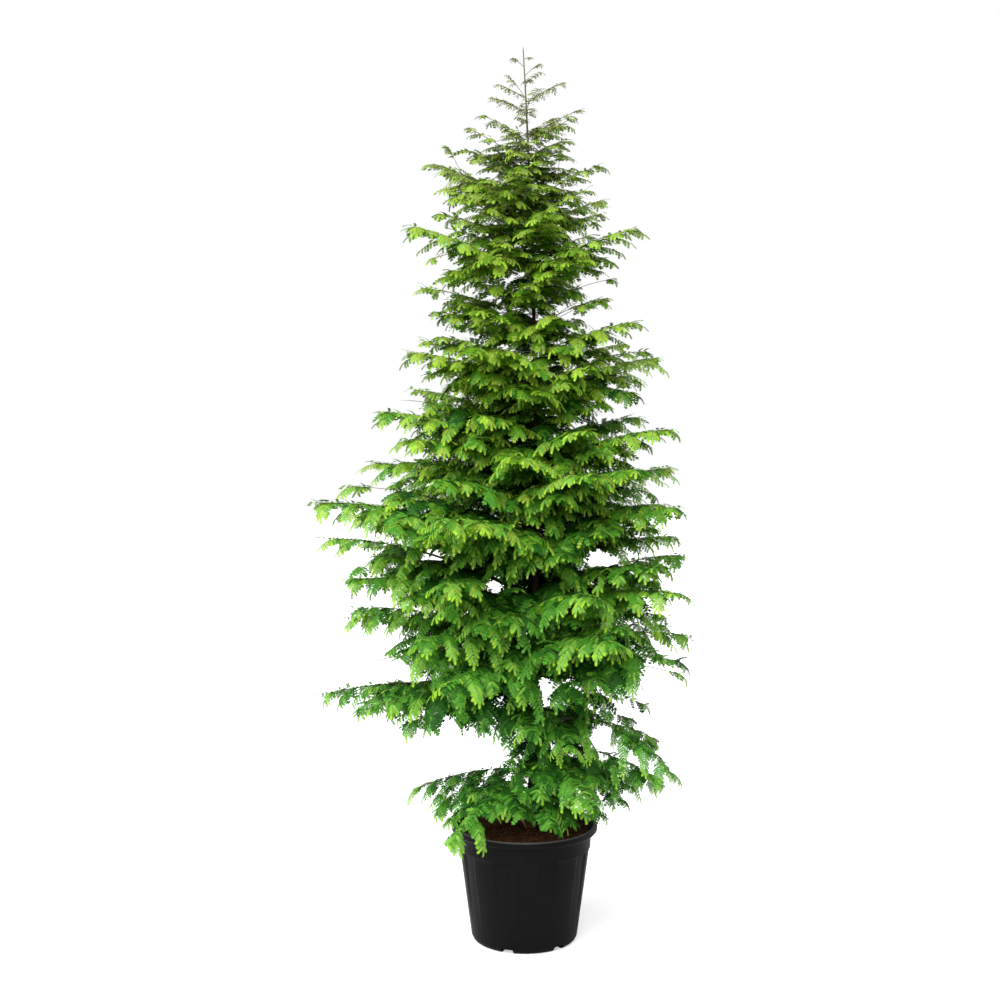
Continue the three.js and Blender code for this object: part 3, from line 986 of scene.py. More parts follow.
@dataclass
class Soil:
    """The filling of the pot, with bark chips and coir on it."""

    pot: Pot
    drop: float = 0.012
    sag: float = 0.005
    flat_radius: float = 0.070
    gap: float = 0.0003
    sides: int = 160
    rings: int = 22
    lumps: float = 0.0035
    lump_waves: float = 42.0
    lump_noise: tuple[float, float, int] = (0.7, 2.1, 4)  # evenness, step between layers, and layers
    lump_middle: float = 0.15
    rim: float = 1e-4  # of the edge that stays level
    smooth_angle: float = 50.0
    tilt: Pair = (0.35, 0.5)  # of the litter's length and width out of the level
    least_share: float = 0.3  # of the smallest chips and fibres
    chips: int = 1900
    chip_length: float = 0.012
    chip_shape: Triple = (0.5, 0.26, 0.13)
    chip_corners: Triples = (
        (1, 0, 0), (0, 1, 0), (-0.8, 0.2, 0), (0.1, -0.9, 0), (0.1, 0, 0.6), (0, 0, -0.6),
    )
    fibres: int = 1500
    fibre_length: float = 0.022
    fibre_radius: float = 0.0004
    fibre_points: int = 5
    fibre_sides: int = 3
    fibre_bend: float = 0.5
    fibre_shift: float = 0.1  # sets the bend to both sides of the middle
    fibre_lift: float = 0.001
    draw: np.random.Generator = field(default_factory=lambda: np.random.default_rng(SEED))

    @property
    def top(self) -> float:
        """Height of the soil at the trunk."""
        return self.pot.height - self.drop

    @property
    def edge(self) -> float:
        """Inside radius of the pot at the soil's edge."""
        return self.pot.inner_radius(self.pot.collar_top)

    def surface(self, x: Array, y: Array) -> Array:
        """Measures the lumpy surface.

        Args:
            x: places to the right.
            y: places to the back.

        Returns:
            Its height at each place.
        """
        level = np.interp(np.hypot(x, y), [self.flat_radius, self.edge], [self.top, self.top - self.sag])
        waves = self.lump_waves
        lumps = [noise.fractal(Vector((a * waves, b * waves, 0.5)), *self.lump_noise) for a, b in zip(x, y)]
        return level + self.lumps * (np.array(lumps) - self.lump_middle)

    def build_bed(self) -> None:
        """Fills the pot with a tapered plug whose top is inset in rings and thrown up in lumps."""
        deselect()
        foot = self.pot.floor + self.gap
        depth = self.top - self.sag - foot
        top_radius = self.edge - self.gap
        bpy.ops.mesh.primitive_cone_add(
            vertices=self.sides, radius1=self.pot.inner_radius(foot) - self.gap, radius2=top_radius,
            depth=depth, location=(0, 0, foot + depth / 2))
        piece = named("soil_bed")
        bpy.ops.object.transform_apply(location=True)
        upper = corners_of(piece)[:, 2] > foot + depth / 2
        with edit_mode():
            select_where(piece, upper)
            for i in range(self.rings):
                bpy.ops.mesh.inset(thickness=top_radius / (self.rings + 1))
        places = corners_of(piece)
        radius = np.hypot(places[:, 0], places[:, 1])
        upper = (places[:, 2] > foot + depth / 2) & (radius < top_radius - self.rim)
        places[upper, 2] = self.surface(places[upper, 0], places[upper, 1])
        move_corners(piece, places)
        bpy.ops.object.shade_smooth_by_angle(angle=math.radians(self.smooth_angle))
        dress(piece, PEAT.material(), "soil", "soil")

    def scatter(self, count: int) -> tuple[Array, Array]:
        """Deals places over the surface, and a nearly level frame at each.

        Args:
            count: how many places.

        Returns:
            The places, and for each three unit directions as rows.
        """
        draw = self.draw
        radius = (self.edge - self.chip_length) * np.sqrt(draw.random(count))
        turn = 2 * math.pi * draw.random(count)
        x, y = radius * np.cos(turn), radius * np.sin(turn)
        spots = np.stack([x, y, self.surface(x, y)], axis=1)
        level = draw.normal(size=(2, count))
        along = unit(np.stack([*level, self.tilt[0] * draw.normal(size=count)], axis=1))
        across = unit(np.cross(along, UP + self.tilt[1] * draw.normal(size=(count, 3))))
        return spots, np.stack([along, across, np.cross(along, across)], axis=1)

    def build_chips(self) -> None:
        """Lays the bark chips on the bed."""
        spots, axes = self.scatter(self.chips)
        corners = np.array(self.chip_corners)
        ring = [(i, (i + 1) % 4) for i in range(4)]
        sides = np.array([(a, b, 4) for a, b in ring] + [(b, a, 5) for a, b in ring])
        share = lerp(self.least_share, 1, self.draw.random((self.chips, 1)))
        size = self.chip_length * share * np.array(self.chip_shape)
        places = spots[:, None] + np.einsum("ij,cj,cjk->cik", corners, size, axes)
        faces = sides[None] + (np.arange(self.chips) * len(corners))[:, None, None]
        piece = mesh_of_faces("bark_chips", places.reshape(-1, 3), faces.reshape(-1, 3))
        dress(piece, CHIP.material(), "soil")

    def build_fibres(self) -> None:
        """Lays the coir on the bed."""
        spots, axes = self.scatter(self.fibres)
        length = self.fibre_length * lerp(self.least_share, 1, self.draw.random((self.fibres, 1)))
        share = np.linspace(-0.5, 0.5, self.fibre_points)
        bend = self.fibre_bend * self.draw.normal(size=(self.fibres, 1))
        run = axes[:, 0][:, None] * (length * share)[..., None]
        sway = axes[:, 1][:, None] * (length * bend * (share ** 2 - self.fibre_shift))[..., None]
        lines = spots[:, None] + run + sway + UP * self.fibre_lift
        radii = np.full(lines.shape[:2], self.fibre_radius)
        piece = mesh_of_faces("coir_fibres", *tubes(lines, radii, self.fibre_sides))
        dress(piece, COIR.material(), "soil")

    def build(self) -> None:
        """Builds the bed and what lies on it."""
        self.build_bed()
        self.build_chips()
        self.build_fibres()


# Trunk

@dataclass
class Trunk:
    """The leader from the soil to its tip, with a root flare."""

    soil_top: float
    gap: float = 0.0003
    foot: Pair = (0.017, 0.004)
    tip: Triple = (-0.006, 0.0, 2.293)
    bow: Triple = (0.050, 0.014, 1.350)
    foot_radius: float = 0.012
    tip_radius: float = 0.0013
    flare: float = 0.007
    flare_height: float = 0.055
    samples: int = 801
    sides: int = 40
    ring_step: float = 0.0045
    ring_crowding: float = 1.15  # more than 1 sets the rings closer at the foot
    bark_depth: float = 0.09
    bark_sunk: float = 0.02
    young_smooth: float = 0.8  # how much of the relief is gone at the tip
    toes: Triples = ((0.16, 5, 0.6), (0.07, 3, 0.0))  # size, number and turn of the root toes
    toe_height: float = 0.02
    last_radii: Pair = (0.7, 0.35)  # of the last two rings, so that the tip is rounded
    line: Curve = field(init=False)

    def __post_init__(self) -> None:
        """Draws the trunk's line."""
        start = np.array([*self.foot, self.foot_height])
        self.line = Curve(start, np.array(self.bow), np.array(self.tip))

    @property
    def foot_height(self) -> float:
        """Height of the flat cut at the soil."""
        return self.soil_top + self.gap

    def point(self, z: Array) -> Array:
        """Finds places on the trunk's line.

        Args:
            z: their heights.

        Returns:
            One row of x, y, z for each height.
        """
        params = np.linspace(0, 1, self.samples)
        places = self.line.place(params)
        at = self.line.place(np.interp(z, places[:, 2], params))
        at[..., 2] = z
        return at

    def radius(self, z: Array) -> Array:
        """Measures the trunk.

        Args:
            z: heights.

        Returns:
            Its radius at each height.
        """
        rise = np.asarray(z) - self.foot_height
        share = rise / (self.tip[2] - self.foot_height)
        flare = self.flare * np.exp(-rise / (self.flare_height / 2))
        return lerp(self.foot_radius, self.tip_radius, share) + flare

    def build(self) -> None:
        """Rolls the trunk with its cracked bark, fading to smooth young wood at the tip."""
        rows = int((self.tip[2] - self.foot_height) / self.ring_step)
        share = np.linspace(0, 1, rows) ** self.ring_crowding
        heights = lerp(self.foot_height, self.tip[2], share)
        relief = bark_relief(rows, self.sides, self.bark_depth, SEED)
        relief *= (1 - self.young_smooth * share)[:, None]
        turn = np.arange(self.sides) * 2 * math.pi / self.sides
        toes = sum(size * np.cos(number * turn + start) for size, number, start in self.toes)
        fading = np.exp(-(heights - self.foot_height) / self.toe_height)
        relief += toes * fading[:, None] - self.bark_sunk
        radii = self.radius(heights)
        radii[-2:] *= self.last_radii
        piece = rolled_limb("trunk_wood", self.point(heights), radii, self.sides, relief)
        dress(piece, TRUNK_BARK.material(), "bark", "trunk")


# Crown

@dataclass
class Bough:
    """One bough, by the rule of the solids."""

    name: str
    azimuth: float
    reach: float
    tip_height: float
    key: int
    start_height: float
    airy_below: float = 0.53  # height of the tip
    feather_share: float = 0.08  # of the longest feathers, of the bough's length
    least_feather: float = 0.012
    most_feather: Pair = (0.024, 0.017)  # on a full and on an airy bough
    line: Curve = field(init=False)
    radius: float = field(init=False)
    bare_share: float = field(init=False)

    @property
    def sector(self) -> Sector:
        """The side of the crown that it is named for."""
        return Sector(self.name.split("_")[0])

    @property
    def airy(self) -> bool:
        """Whether it is one of the thin lowest boughs."""
        return self.tip_height < self.airy_below and self.sector is not Sector.FRONT

    @property
    def feather(self) -> float:
        """Length of its longest feathers."""
        most = self.most_feather[self.airy]
        return float(np.clip(self.feather_share * self.line.length, self.least_feather, most))


@dataclass
class Stem:
    """One leafy stem of a mass: the bough itself, a lesser bough beside it or a twig."""

    line: Curve
    first: float  # share where the sprays begin
    radius: float
    longest: float  # length of the longest spray
    feather: float  # length of the longest feather
    key: float  # of its chances


@dataclass
class Shoot:
    """One side shoot of a stem."""

    base: Array
    heading: Array  # the way it leaves its stem
    end: Array  # how far its last feather reaches
    radius: float  # at its base
    feather: float  # length of its longest feather
    outward: float  # 0 at the trunk to 1 at the bough's tip
    side: int  # number of its side of the crown


@dataclass
class CrownRule:
    """The branching rule of the solids: where boughs, twigs and sprays grow."""

    eye_side: float = EYE[0]
    eye_distance: float = -EYE[1]
    eye_height: float = EYE[2]
    left_tips: Pairs = (  # reach and height, as the eye sees them
        (0.064, 2.199), (0.150, 2.094), (0.232, 2.003), (0.300, 1.849), (0.265, 1.691), (0.307, 1.528),
        (0.292, 1.432), (0.381, 1.375), (0.393, 1.245), (0.558, 1.142), (0.515, 1.050), (0.472, 0.942),
        (0.457, 0.843), (0.411, 0.726), (0.526, 0.642), (0.430, 0.600), (0.290, 0.392),
    )
    right_tips: Pairs = (
        (0.037, 2.231), (0.143, 2.139), (0.189, 2.000), (0.202, 1.912), (0.279, 1.842), (0.216, 1.665),
        (0.285, 1.605), (0.345, 1.513), (0.380, 1.330), (0.383, 1.232), (0.399, 1.129), (0.418, 1.007),
        (0.400, 0.905), (0.436, 0.796), (0.403, 0.694), (0.352, 0.520), (0.395, 0.414),
    )
    profile_swing: float = 40.0
    swing_reach: float = 0.330
    least_swing: float = 0.6
    facing_count: int = 18
    facing_heights: Pair = (2.040, 0.330)
    facing_swing: float = 34.0
    left_key: int = 100  # of the chances of the first bough on the left
    right_key: int = 200
    facing_key: int = 300
    lift: Pairs = (  # height of a tip, and the bough's climb to it
        (0.33, -0.3), (0.38, -0.22), (0.64, 0.0), (0.85, 0.2), (1.15, 0.28), (1.9, 0.36), (2.3, 0.6),
    )
    start_spacing: float = 0.013
    bare_reach: float = 0.486
    bare_share: float = 0.3
    stout: float = 0.0125
    least_radius: float = 0.0024
    trunk_share: float = 0.62
    stem_tip_radius: float = 0.0014
    spray_spacing: float = 0.06
    spray_fan: float = 0.5
    spray_longest: float = 0.205
    spray_least: float = 0.034
    spray_taper: float = 0.64
    spray_from_bough: float = 0.05
    spray_last: float = 0.93
    spray_angle: float = 56.0
    spray_droop: float = 0.95
    spray_unlike: Triple = (9.0, 0.3, 0.2)  # in angle, droop and size
    spray_keys: Pair = (0.31, 0.13)  # steps of the key from place to place and side to side
    twig_each: float = 0.160
    twig_places: Pair = (0.08, 0.34)  # of the pairs, on the leafy part of a bough
    twig_stagger: float = 0.05
    twig_length: float = 0.62
    twig_angle: float = 50.0
    twig_droop: float = 0.3
    twig_elbow: float = 0.55
    twig_radius: float = 0.7
    twig_gain: float = 1.3
    twig_sunk: float = 0.12
    twig_unlike: Pair = (6.0, 0.1)  # in angle and length
    twig_keys: Pair = (7.7, 1.9)
    shrinks: tuple[float, ...] = (1.0, 0.9, 0.8, 0.7, 0.6, 0.5, 0.4, 0.3)
    limb_clear: float = 0.007

    def widths(self, height: float) -> tuple[float, float]:
        """Measures the outline.

        Args:
            height: where.

        Returns:
            Its reach to the left and to the right.
        """
        reaches = []
        for tips in (self.left_tips, self.right_tips):
            reach, level = zip(*tips[::-1])
            reaches.append(float(np.interp(height, level, reach)))
        return reaches[0], reaches[1]

    def climb(self, height: float) -> float:
        """Returns how steeply a bough with its tip at that height climbs."""
        return float(np.interp(height, *zip(*self.lift)))


@dataclass
class Crown:
    """Boughs, twigs, shoots, feathers and needles on the trunk."""

    trunk: Trunk
    pot: Pot
    rule: CrownRule = field(default_factory=CrownRule)
    arch_heights: Pair = (1.5, 2.0)
    arches: Pair = (0.07, 0.025)  # rise of a bough's middle at those heights
    low_arches: tuple[tuple[str, float], ...] = (  # of the lowest boughs, by name
        ("left_17", 0.06), ("right_16", 0.1), ("right_17", 0.2),
    )
    hang_heights: Triple = (0.6, 1.2, 2.0)
    hang_shares: Triple = (0.85, 0.5, 0.4)  # how far the long sprays hang at those heights
    slim: float = 0.36  # share of its radius that a leafy stem has at its foot
    limb_tip: float = 0.55  # and at its end, of the rule's
    limb_taper: float = 0.45  # less than 1 thins it soon
    main_grid: tuple[int, int] = (8, 18)  # sides and rings of a bough
    side_grid: tuple[int, int] = (6, 10)  # and of a twig or lesser bough
    bare_lap: float = 0.98  # of the bare wood, where the leafy stem begins in it
    bare_grid: tuple[int, int] = (60, 20)  # rows and sides of the bare wood
    bare_depth: float = 0.08  # of its bark
    least_share: float = 0.45  # most of a stem's length that its least spray has
    short_share: float = 0.6  # of the short sprays between the long ones
    short_droop: float = 0.3
    sparse_from: float = 0.55  # share of a low stem past which no short sprays grow
    sparse_below: float = 0.85
    shoot_wood: float = 0.5  # radius of a shoot's foot, as a share of its stem there
    end_from: float = -0.6  # where a stem's last shoot begins: 0 at its last spray, 1 at its end
    end_wood: float = 0.7  # radius of its foot, as a share of the stem's end
    tip_nod: float = 0.25  # fall of that shoot, as a share of it
    first_leaf: float = 0.022  # distance of the first sprays from the trunk
    lesser_count: int = 118
    lesser_heights: Pair = (2.19, 0.74)
    lesser_share: Pair = (0.5, 1.0)  # of the outline's reach
    lesser_crowding: float = 0.9  # less than 1 sets them closer lower down
    lesser_key: int = 400
    lesser_wood: float = 0.5  # of the nearest bough
    lesser_feather: Pair = (0.01, 0.085)  # least, and more as a share of the length
    top_gap: float = 0.012  # over the tip, where the outline would close
    top_taper: float = 0.075  # height over which it narrows to that
    tuft_count: int = 30  # of short twigs on the leader
    tuft_heights: Pair = (2.16, 1.8)
    tuft_reach: Pair = (0.055, 0.1)
    tuft_taper: float = 0.2
    extra_boughs: Triples = (  # degrees, reach and tip height
        (-56.0, 0.205, 0.35), (-36.0, 0.235, 0.36), (-20.0, 0.29, 0.42), (-88.0, 0.27, 0.6),
        (-14.0, 0.27, 0.375), (10.0, 0.31, 0.395), (195.0, 0.27, 1.555), (165.0, 0.34, 1.3),
        (190.0, 0.33, 1.25), (10.0, 0.27, 1.55), (-15.0, 0.31, 1.3), (12.0, 0.36, 1.07),
        (-14.0, 0.37, 0.99), (16.0, 0.375, 0.925), (-10.0, 0.365, 0.86), (-10.0, 0.32, 0.625),
        (-6.0, 0.31, 1.53), (186.0, 0.24, 1.5), (176.0, 0.44, 1.12), (4.0, 0.37, 0.4), (-24.0, 0.36, 0.46),
        (172.0, 0.36, 0.62), (186.0, 0.31, 0.575), (186.0, 0.22, 1.875), (180.0, 0.47, 1.185),
        (-105.0, 0.16, 0.5), (184.0, 0.235, 1.63), (170.0, 0.2, 1.54),
    )
    openings: tuple[tuple[float, float, float, float], ...] = (  # x, z and half sizes, as the eye sees them
        (-0.165, 0.485, 0.13, 0.036), (-0.2, 0.575, 0.02, 0.022), (0.056, 0.662, 0.026, 0.034),
        (0.2, 0.548, 0.03, 0.02), (0.012, 0.42, 0.012, 0.03), (-0.232, 1.007, 0.03, 0.013),
        (-0.073, 0.932, 0.027, 0.024), (0.19, 1.004, 0.03, 0.022), (-0.39, 0.785, 0.03, 0.018),
        (-0.39, 0.555, 0.05, 0.03), (-0.435, 1.0, 0.035, 0.025), (0.335, 0.7, 0.035, 0.022),
        (-0.02, 0.297, 0.07, 0.014), (-0.375, 1.17, 0.03, 0.018), (-0.29, 1.405, 0.032, 0.02),
        (0.1, 1.635, 0.028, 0.02), (-0.19, 1.765, 0.022, 0.016), (-0.36, 0.725, 0.055, 0.015),
        (0.168, 1.705, 0.032, 0.018), (0.26, 0.606, 0.028, 0.016), (-0.2, 1.668, 0.022, 0.014),
        (-0.064, 0.633, 0.018, 0.024), (0.114, 0.687, 0.02, 0.01), (0.176, 0.936, 0.012, 0.014),
        (-0.024, 1.723, 0.018, 0.01), (-0.06, 1.634, 0.014, 0.014),
    )
    upright_twigs: tuple[tuple[str, float, Triple], ...] = (  # bough, share along it, and the way to the tip
        ("right_3", 0.4, (0.008, 0.0, 0.1)), ("left_3", 0.7, (-0.04, 0.0, 0.07)),
    )
    leader_twigs: tuple[tuple[float, Triple], ...] = (  # height on the leader, and the way to the tip
        (2.262, (0.018, 0.0, 0.005)), (2.243, (-0.03, -0.01, 0.02)), (2.221, (0.038, 0.0, 0.03)),
        (2.19, (0.01, 0.04, 0.03)), (2.165, (-0.045, 0.0, 0.055)), (2.15, (0.097, 0.02, 0.06)),
        (2.14, (0.03, -0.06, 0.04)), (2.125, (-0.09, -0.02, 0.04)),
    )
    thin_feather: float = 0.008  # of those twigs
    thin_wood: float = 0.0016
    thin_bare: float = 0.6  # share of them before their sprays
    thin_arch: float = 0.1
    thin_key: int = 700
    boughs: list[Bough] = field(default_factory=list)
    stems: list[tuple[Bough, Stem]] = field(default_factory=list)
    shoots: list[Shoot] = field(default_factory=list)
    limbs: dict[Sector, list] = field(default_factory=lambda: {sector: [] for sector in Sector})

    # Boughs

    def plan(self, name: str, azimuth: float, reach: float, tip_height: float, key: int) -> Bough:
        """Fixes one bough by its direction and reach from the pot's axis and its tip's height."""
        start_height = tip_height - self.rule.climb(tip_height) * reach
        return Bough(name, azimuth, reach, tip_height, key, start_height)

    def profile_plans(self, side: Sector, tips: Pairs, facing: float, first_key: int) -> list[Bough]:
        """Plans the boughs seen in profile, turned forward and back by turns.

        Args:
            side: left or right.
            tips: reach and height of each tip as the eye sees it.
            facing: direction of the side, in radians.
            first_key: of the first bough.

        Returns:
            The boughs, from the top down.
        """
        rule, plans = self.rule, []
        for i, (seen_reach, seen_height) in enumerate(tips):
            most = rule.profile_swing * min(1, rule.swing_reach / seen_reach)
            turn = math.radians(most * (1 if i % 2 else -1) * lerp(rule.least_swing, 1, chance(first_key, i)))
            azimuth = facing + turn
            slope = math.sin(azimuth) / abs(math.cos(azimuth))
            across = seen_reach / (1 - seen_reach * slope / rule.eye_distance)
            nearness = 1 + across * slope / rule.eye_distance
            height = rule.eye_height + (seen_height - rule.eye_height) * nearness
            name = f"{side.value}_{i + 1}"
            plans.append(self.plan(name, azimuth, across / math.cos(turn), height, first_key + i))
        return plans

    def facing_plans(self) -> list[Bough]:
        """Plans the boughs before and behind the trunk, as long as the outline is wide at their height.

        Returns:
            The boughs, from the top down.
        """
        rule, first_key, plans = self.rule, self.rule.facing_key, []
        for i in range(rule.facing_count):
            height = lerp(*rule.facing_heights, i / (rule.facing_count - 1))
            side = Sector.FRONT if i % 4 < 2 else Sector.BACK
            turn = rule.facing_swing * (-1 if i % 2 else 1) * lerp(rule.least_swing, 1, chance(first_key, i))
            azimuth = math.radians((-90 if side is Sector.FRONT else 90) + turn)
            reach = sum(rule.widths(height)) / 2
            plans.append(self.plan(f"{side.value}_{i + 1}", azimuth, reach, height, first_key + i))
        return plans

    def grow_boughs(self) -> None:
        """Draws every bough's line, each leaving the trunk a little above the one below it."""
        rule, low_arches = self.rule, dict(self.low_arches)
        self.boughs = [
            *self.profile_plans(Sector.LEFT, rule.left_tips, math.pi, rule.left_key),
            *self.profile_plans(Sector.RIGHT, rule.right_tips, 0.0, rule.right_key),
            *self.facing_plans(),
        ]
        for below, bough in pairwise(sorted(self.boughs, key=lambda bough: bough.start_height)):
            bough.start_height = max(bough.start_height, below.start_height + rule.start_spacing)
        for bough in self.boughs:
            start = self.trunk.point(bough.start_height)
            out = np.array([math.cos(bough.azimuth), math.sin(bough.azimuth), 0.0])
            tip = out * bough.reach + UP * bough.tip_height
            bough.line = self.arched(start, tip, bough.reach, low_arches.get(bough.name))
            stoutest = float(self.trunk.radius(bough.start_height)) * rule.trunk_share
            bough.radius = min(max(bough.line.length * rule.stout, rule.least_radius), stoutest)
            bough.bare_share = rule.bare_share if bough.reach > rule.bare_reach else 0.0

    def arched(self, start: Array, tip: Array, reach: float, arch: float | None) -> Curve:
        """Draws a bough's line.

        Args:
            start: where it leaves the trunk.
            tip: where it ends.
            reach: of its tip from the pot's axis.
            arch: rise of its middle as a share of that, or None to go by height, nearly straight at the top.

        Returns:
            The line.
        """
        if arch is None:
            arch = float(np.interp(tip[2], self.arch_heights, self.arches))
        return Curve(start, (start + tip) / 2 + UP * 2 * arch * reach, tip)

    # Space

    def clear(self, places: Array) -> Array:
        """Tells which places are clear of the trunk, of the pot and of the crown's openings.

        Args:
            places: rows of x, y, z.

        Returns:
            One truth value for each place.
        """
        gap = self.rule.limb_clear
        axis = self.trunk.point(np.minimum(places[:, 2], self.trunk.tip[2]))
        from_trunk = np.hypot(*(places - axis)[:, :2].T) - self.trunk.radius(places[:, 2])
        over_pot = places[:, 2] > self.pot.height + gap
        beside_pot = np.hypot(*places[:, :2].T) > self.pot.rim_radius + gap
        return (from_trunk > gap) & (over_pot | beside_pot) & ~self.in_opening(places)

    def in_opening(self, places: Array) -> Array:
        """Tells which places the eye would see in one of the crown's openings.

        Args:
            places: rows of x, y, z.

        Returns:
            One truth value for each place.
        """
        rule = self.rule
        near = rule.eye_distance / (rule.eye_distance + places[:, 1])
        x = rule.eye_side + (places[:, 0] - rule.eye_side) * near
        z = rule.eye_height + (places[:, 2] - rule.eye_height) * near
        middle_x, middle_z, wide, high = np.array(self.openings).T[..., None]
        return (((x - middle_x) / wide) ** 2 + ((z - middle_z) / high) ** 2 < 1).any(axis=0)

    def spray_end(self, at: Array, heading: Array, length: float) -> Array | None:
        """Draws a spray in until it is clear.

        Args:
            at: where it leaves its stem.
            heading: the way to its end.
            length: its full length.

        Returns:
            Its end, or None if it has no room.
        """
        shares = np.array(self.rule.shrinks)
        tips = at + heading * (shares * length)[:, None]
        middles = at + heading * (shares * length / 2)[:, None]
        good = self.clear(tips) & self.clear(middles)
        return tips[np.argmax(good)] if good.any() else None

    def room(self, azimuth: float) -> float:
        """Returns how far the box of the solids reaches in a direction."""
        ways = (math.cos(azimuth), math.sin(azimuth))
        return min(CAD_BOX[way > 0][axis] / way for axis, way in enumerate(ways) if abs(way) > TINY)

    def width(self, height: float, azimuth: float) -> float:
        """Returns the crown's reach at a height, between its left and right outline."""
        narrowing = min(1.0, max(self.trunk.tip[2] + self.top_gap - height, 0.0) / self.top_taper)
        return lerp(*self.rule.widths(height), (1 + math.cos(azimuth)) / 2) * narrowing

    # Stems

    def foliage_start(self, length: float, bare_share: float) -> float:
        """Finds where a bough's sprays begin.

        Args:
            length: of the bough.
            bare_share: of it that is bare wood.

        Returns:
            The share of its length.
        """
        if bare_share:
            return bare_share + self.rule.spray_from_bough
        return min(self.rule.bare_share, self.first_leaf / length)

    def spray_length(self, length: float) -> float:
        """Returns the longest spray of a stem of that length."""
        return min(self.rule.spray_fan * length, self.rule.spray_longest)

    def outward(self, bough: Bough, at: Array) -> float:
        """Returns how far out along a bough's reach a place lies, from 0 to 1."""
        axis = self.trunk.point(at[2])
        return float(min(np.hypot(*(at - axis)[:2]) / bough.reach, 1.0))

    def grow_sprays(self, bough: Bough, stem: Stem) -> None:
        """Grows the shoots along both sides of a stem, long and short by turns, and one at its end.

        Args:
            bough: the bough whose mass the stem belongs to.
            stem: the stem.
        """
        rule, line, number = self.rule, stem.line, SECTORS.index(bough.sector)
        count = max(2, round((rule.spray_last - stem.first) * line.length / rule.spray_spacing))
        least = min(rule.spray_least, self.least_share * line.length)
        for i in range(1, 2 * count + 1):
            way = (i - 1) / (2 * count - 1)
            share = lerp(stem.first, rule.spray_last, way)
            spot = line.frame(share)
            length = max(stem.longest * (1 - rule.spray_taper * way), least)
            radius = self.shoot_wood * lerp(stem.radius, rule.stem_tip_radius, share)
            hang = float(np.interp(spot.at[2], self.hang_heights, self.hang_shares)) * rule.spray_droop
            sparse = bough.airy or way > self.sparse_from and spot.at[2] < self.sparse_below
            for side in (-1, 1):
                long = (i + (side > 0)) % 2 == 0
                if sparse and not long:
                    continue
                key = stem.key + rule.spray_keys[0] * i + rule.spray_keys[1] * side
                unlike = rule.spray_unlike[0] * swing(key, Luck.SPRAY_ANGLE)
                level = spot.sideways(side, math.radians(rule.spray_angle + unlike))
                droop = hang * (1 + rule.spray_unlike[1] * swing(key, Luck.SPRAY_DROOP))
                size = 1 + rule.spray_unlike[2] * swing(key, Luck.SPRAY_SIZE)
                if not long:
                    size = self.short_share
                    droop = self.short_droop * (droop + swing(key, Luck.SHORT_DROOP))
                end = self.spray_end(spot.at, unit(level - UP * droop), length * size)
                if end is not None:
                    out = self.outward(bough, end)
                    self.shoots.append(Shoot(spot.at, level, end, radius, stem.feather, out, number))
        base = line.frame(lerp(rule.spray_last, 1, self.end_from))
        end = line.end - UP * self.tip_nod * float(np.linalg.norm(line.end - base.at))
        radius = rule.stem_tip_radius * self.end_wood
        self.shoots.append(Shoot(base.at, base.along, end, radius, stem.feather, 1.0, number))

    def twigs(self, parent: Stem) -> Iterator[Stem]:
        """Yields the twigs of a long bough, in pairs, each with shoots of its own.

        Args:
            parent: the stem that they grow on.
        """
        rule, length = self.rule, parent.line.length
        for i, place in enumerate(rule.twig_places[:int(length / rule.twig_each)]):
            for side in (-1, 1):
                share = lerp(parent.first, 1, place + rule.twig_stagger * side)
                spot = parent.line.frame(share)
                key = parent.key + rule.twig_keys[0] * (i + 1) + rule.twig_keys[1] * side
                angle = rule.twig_angle + rule.twig_unlike[0] * swing(key, Luck.TWIG_ANGLE)
                heading = spot.sideways(side, math.radians(angle))
                unlike = 1 + rule.twig_unlike[1] * swing(key, Luck.TWIG_LENGTH)
                reach = rule.twig_length * (1 - share) * length * unlike
                elbow = spot.at + heading * reach * rule.twig_elbow
                end = spot.at + heading * reach - UP * rule.twig_droop * reach
                if self.clear(np.stack([elbow, end])).all():
                    line = Curve(spot.at, elbow, end)
                    radius = rule.twig_radius * lerp(parent.radius, rule.stem_tip_radius, share)
                    longest = self.spray_length(reach * rule.twig_gain)
                    yield Stem(line, rule.twig_sunk, radius, longest, parent.feather, key)

    def lesser_bough(self, azimuth: float, reach: float, height: float, key: int) -> tuple[Bough, Stem]:
        """Draws one shorter bough, which belongs to the mass whose tip is nearest.

        Args:
            azimuth: its direction in radians.
            reach: of its tip from the pot's axis.
            height: of its tip.
            key: of its chances.

        Returns:
            The bough of its mass, and its stem.
        """
        start = self.trunk.point(height - self.rule.climb(height) * reach)
        tip = np.array([reach * math.cos(azimuth), reach * math.sin(azimuth), height])
        line = self.arched(start, tip, reach, None)
        bough = min(self.boughs, key=lambda near: float(np.linalg.norm(near.line.end - tip)))
        first = self.foliage_start(line.length, 0.0)
        least, more = self.lesser_feather
        feather = min(bough.feather, least + more * line.length)
        longest = self.spray_length(line.length)
        return bough, Stem(line, first, self.lesser_wood * bough.radius, longest, feather, key)

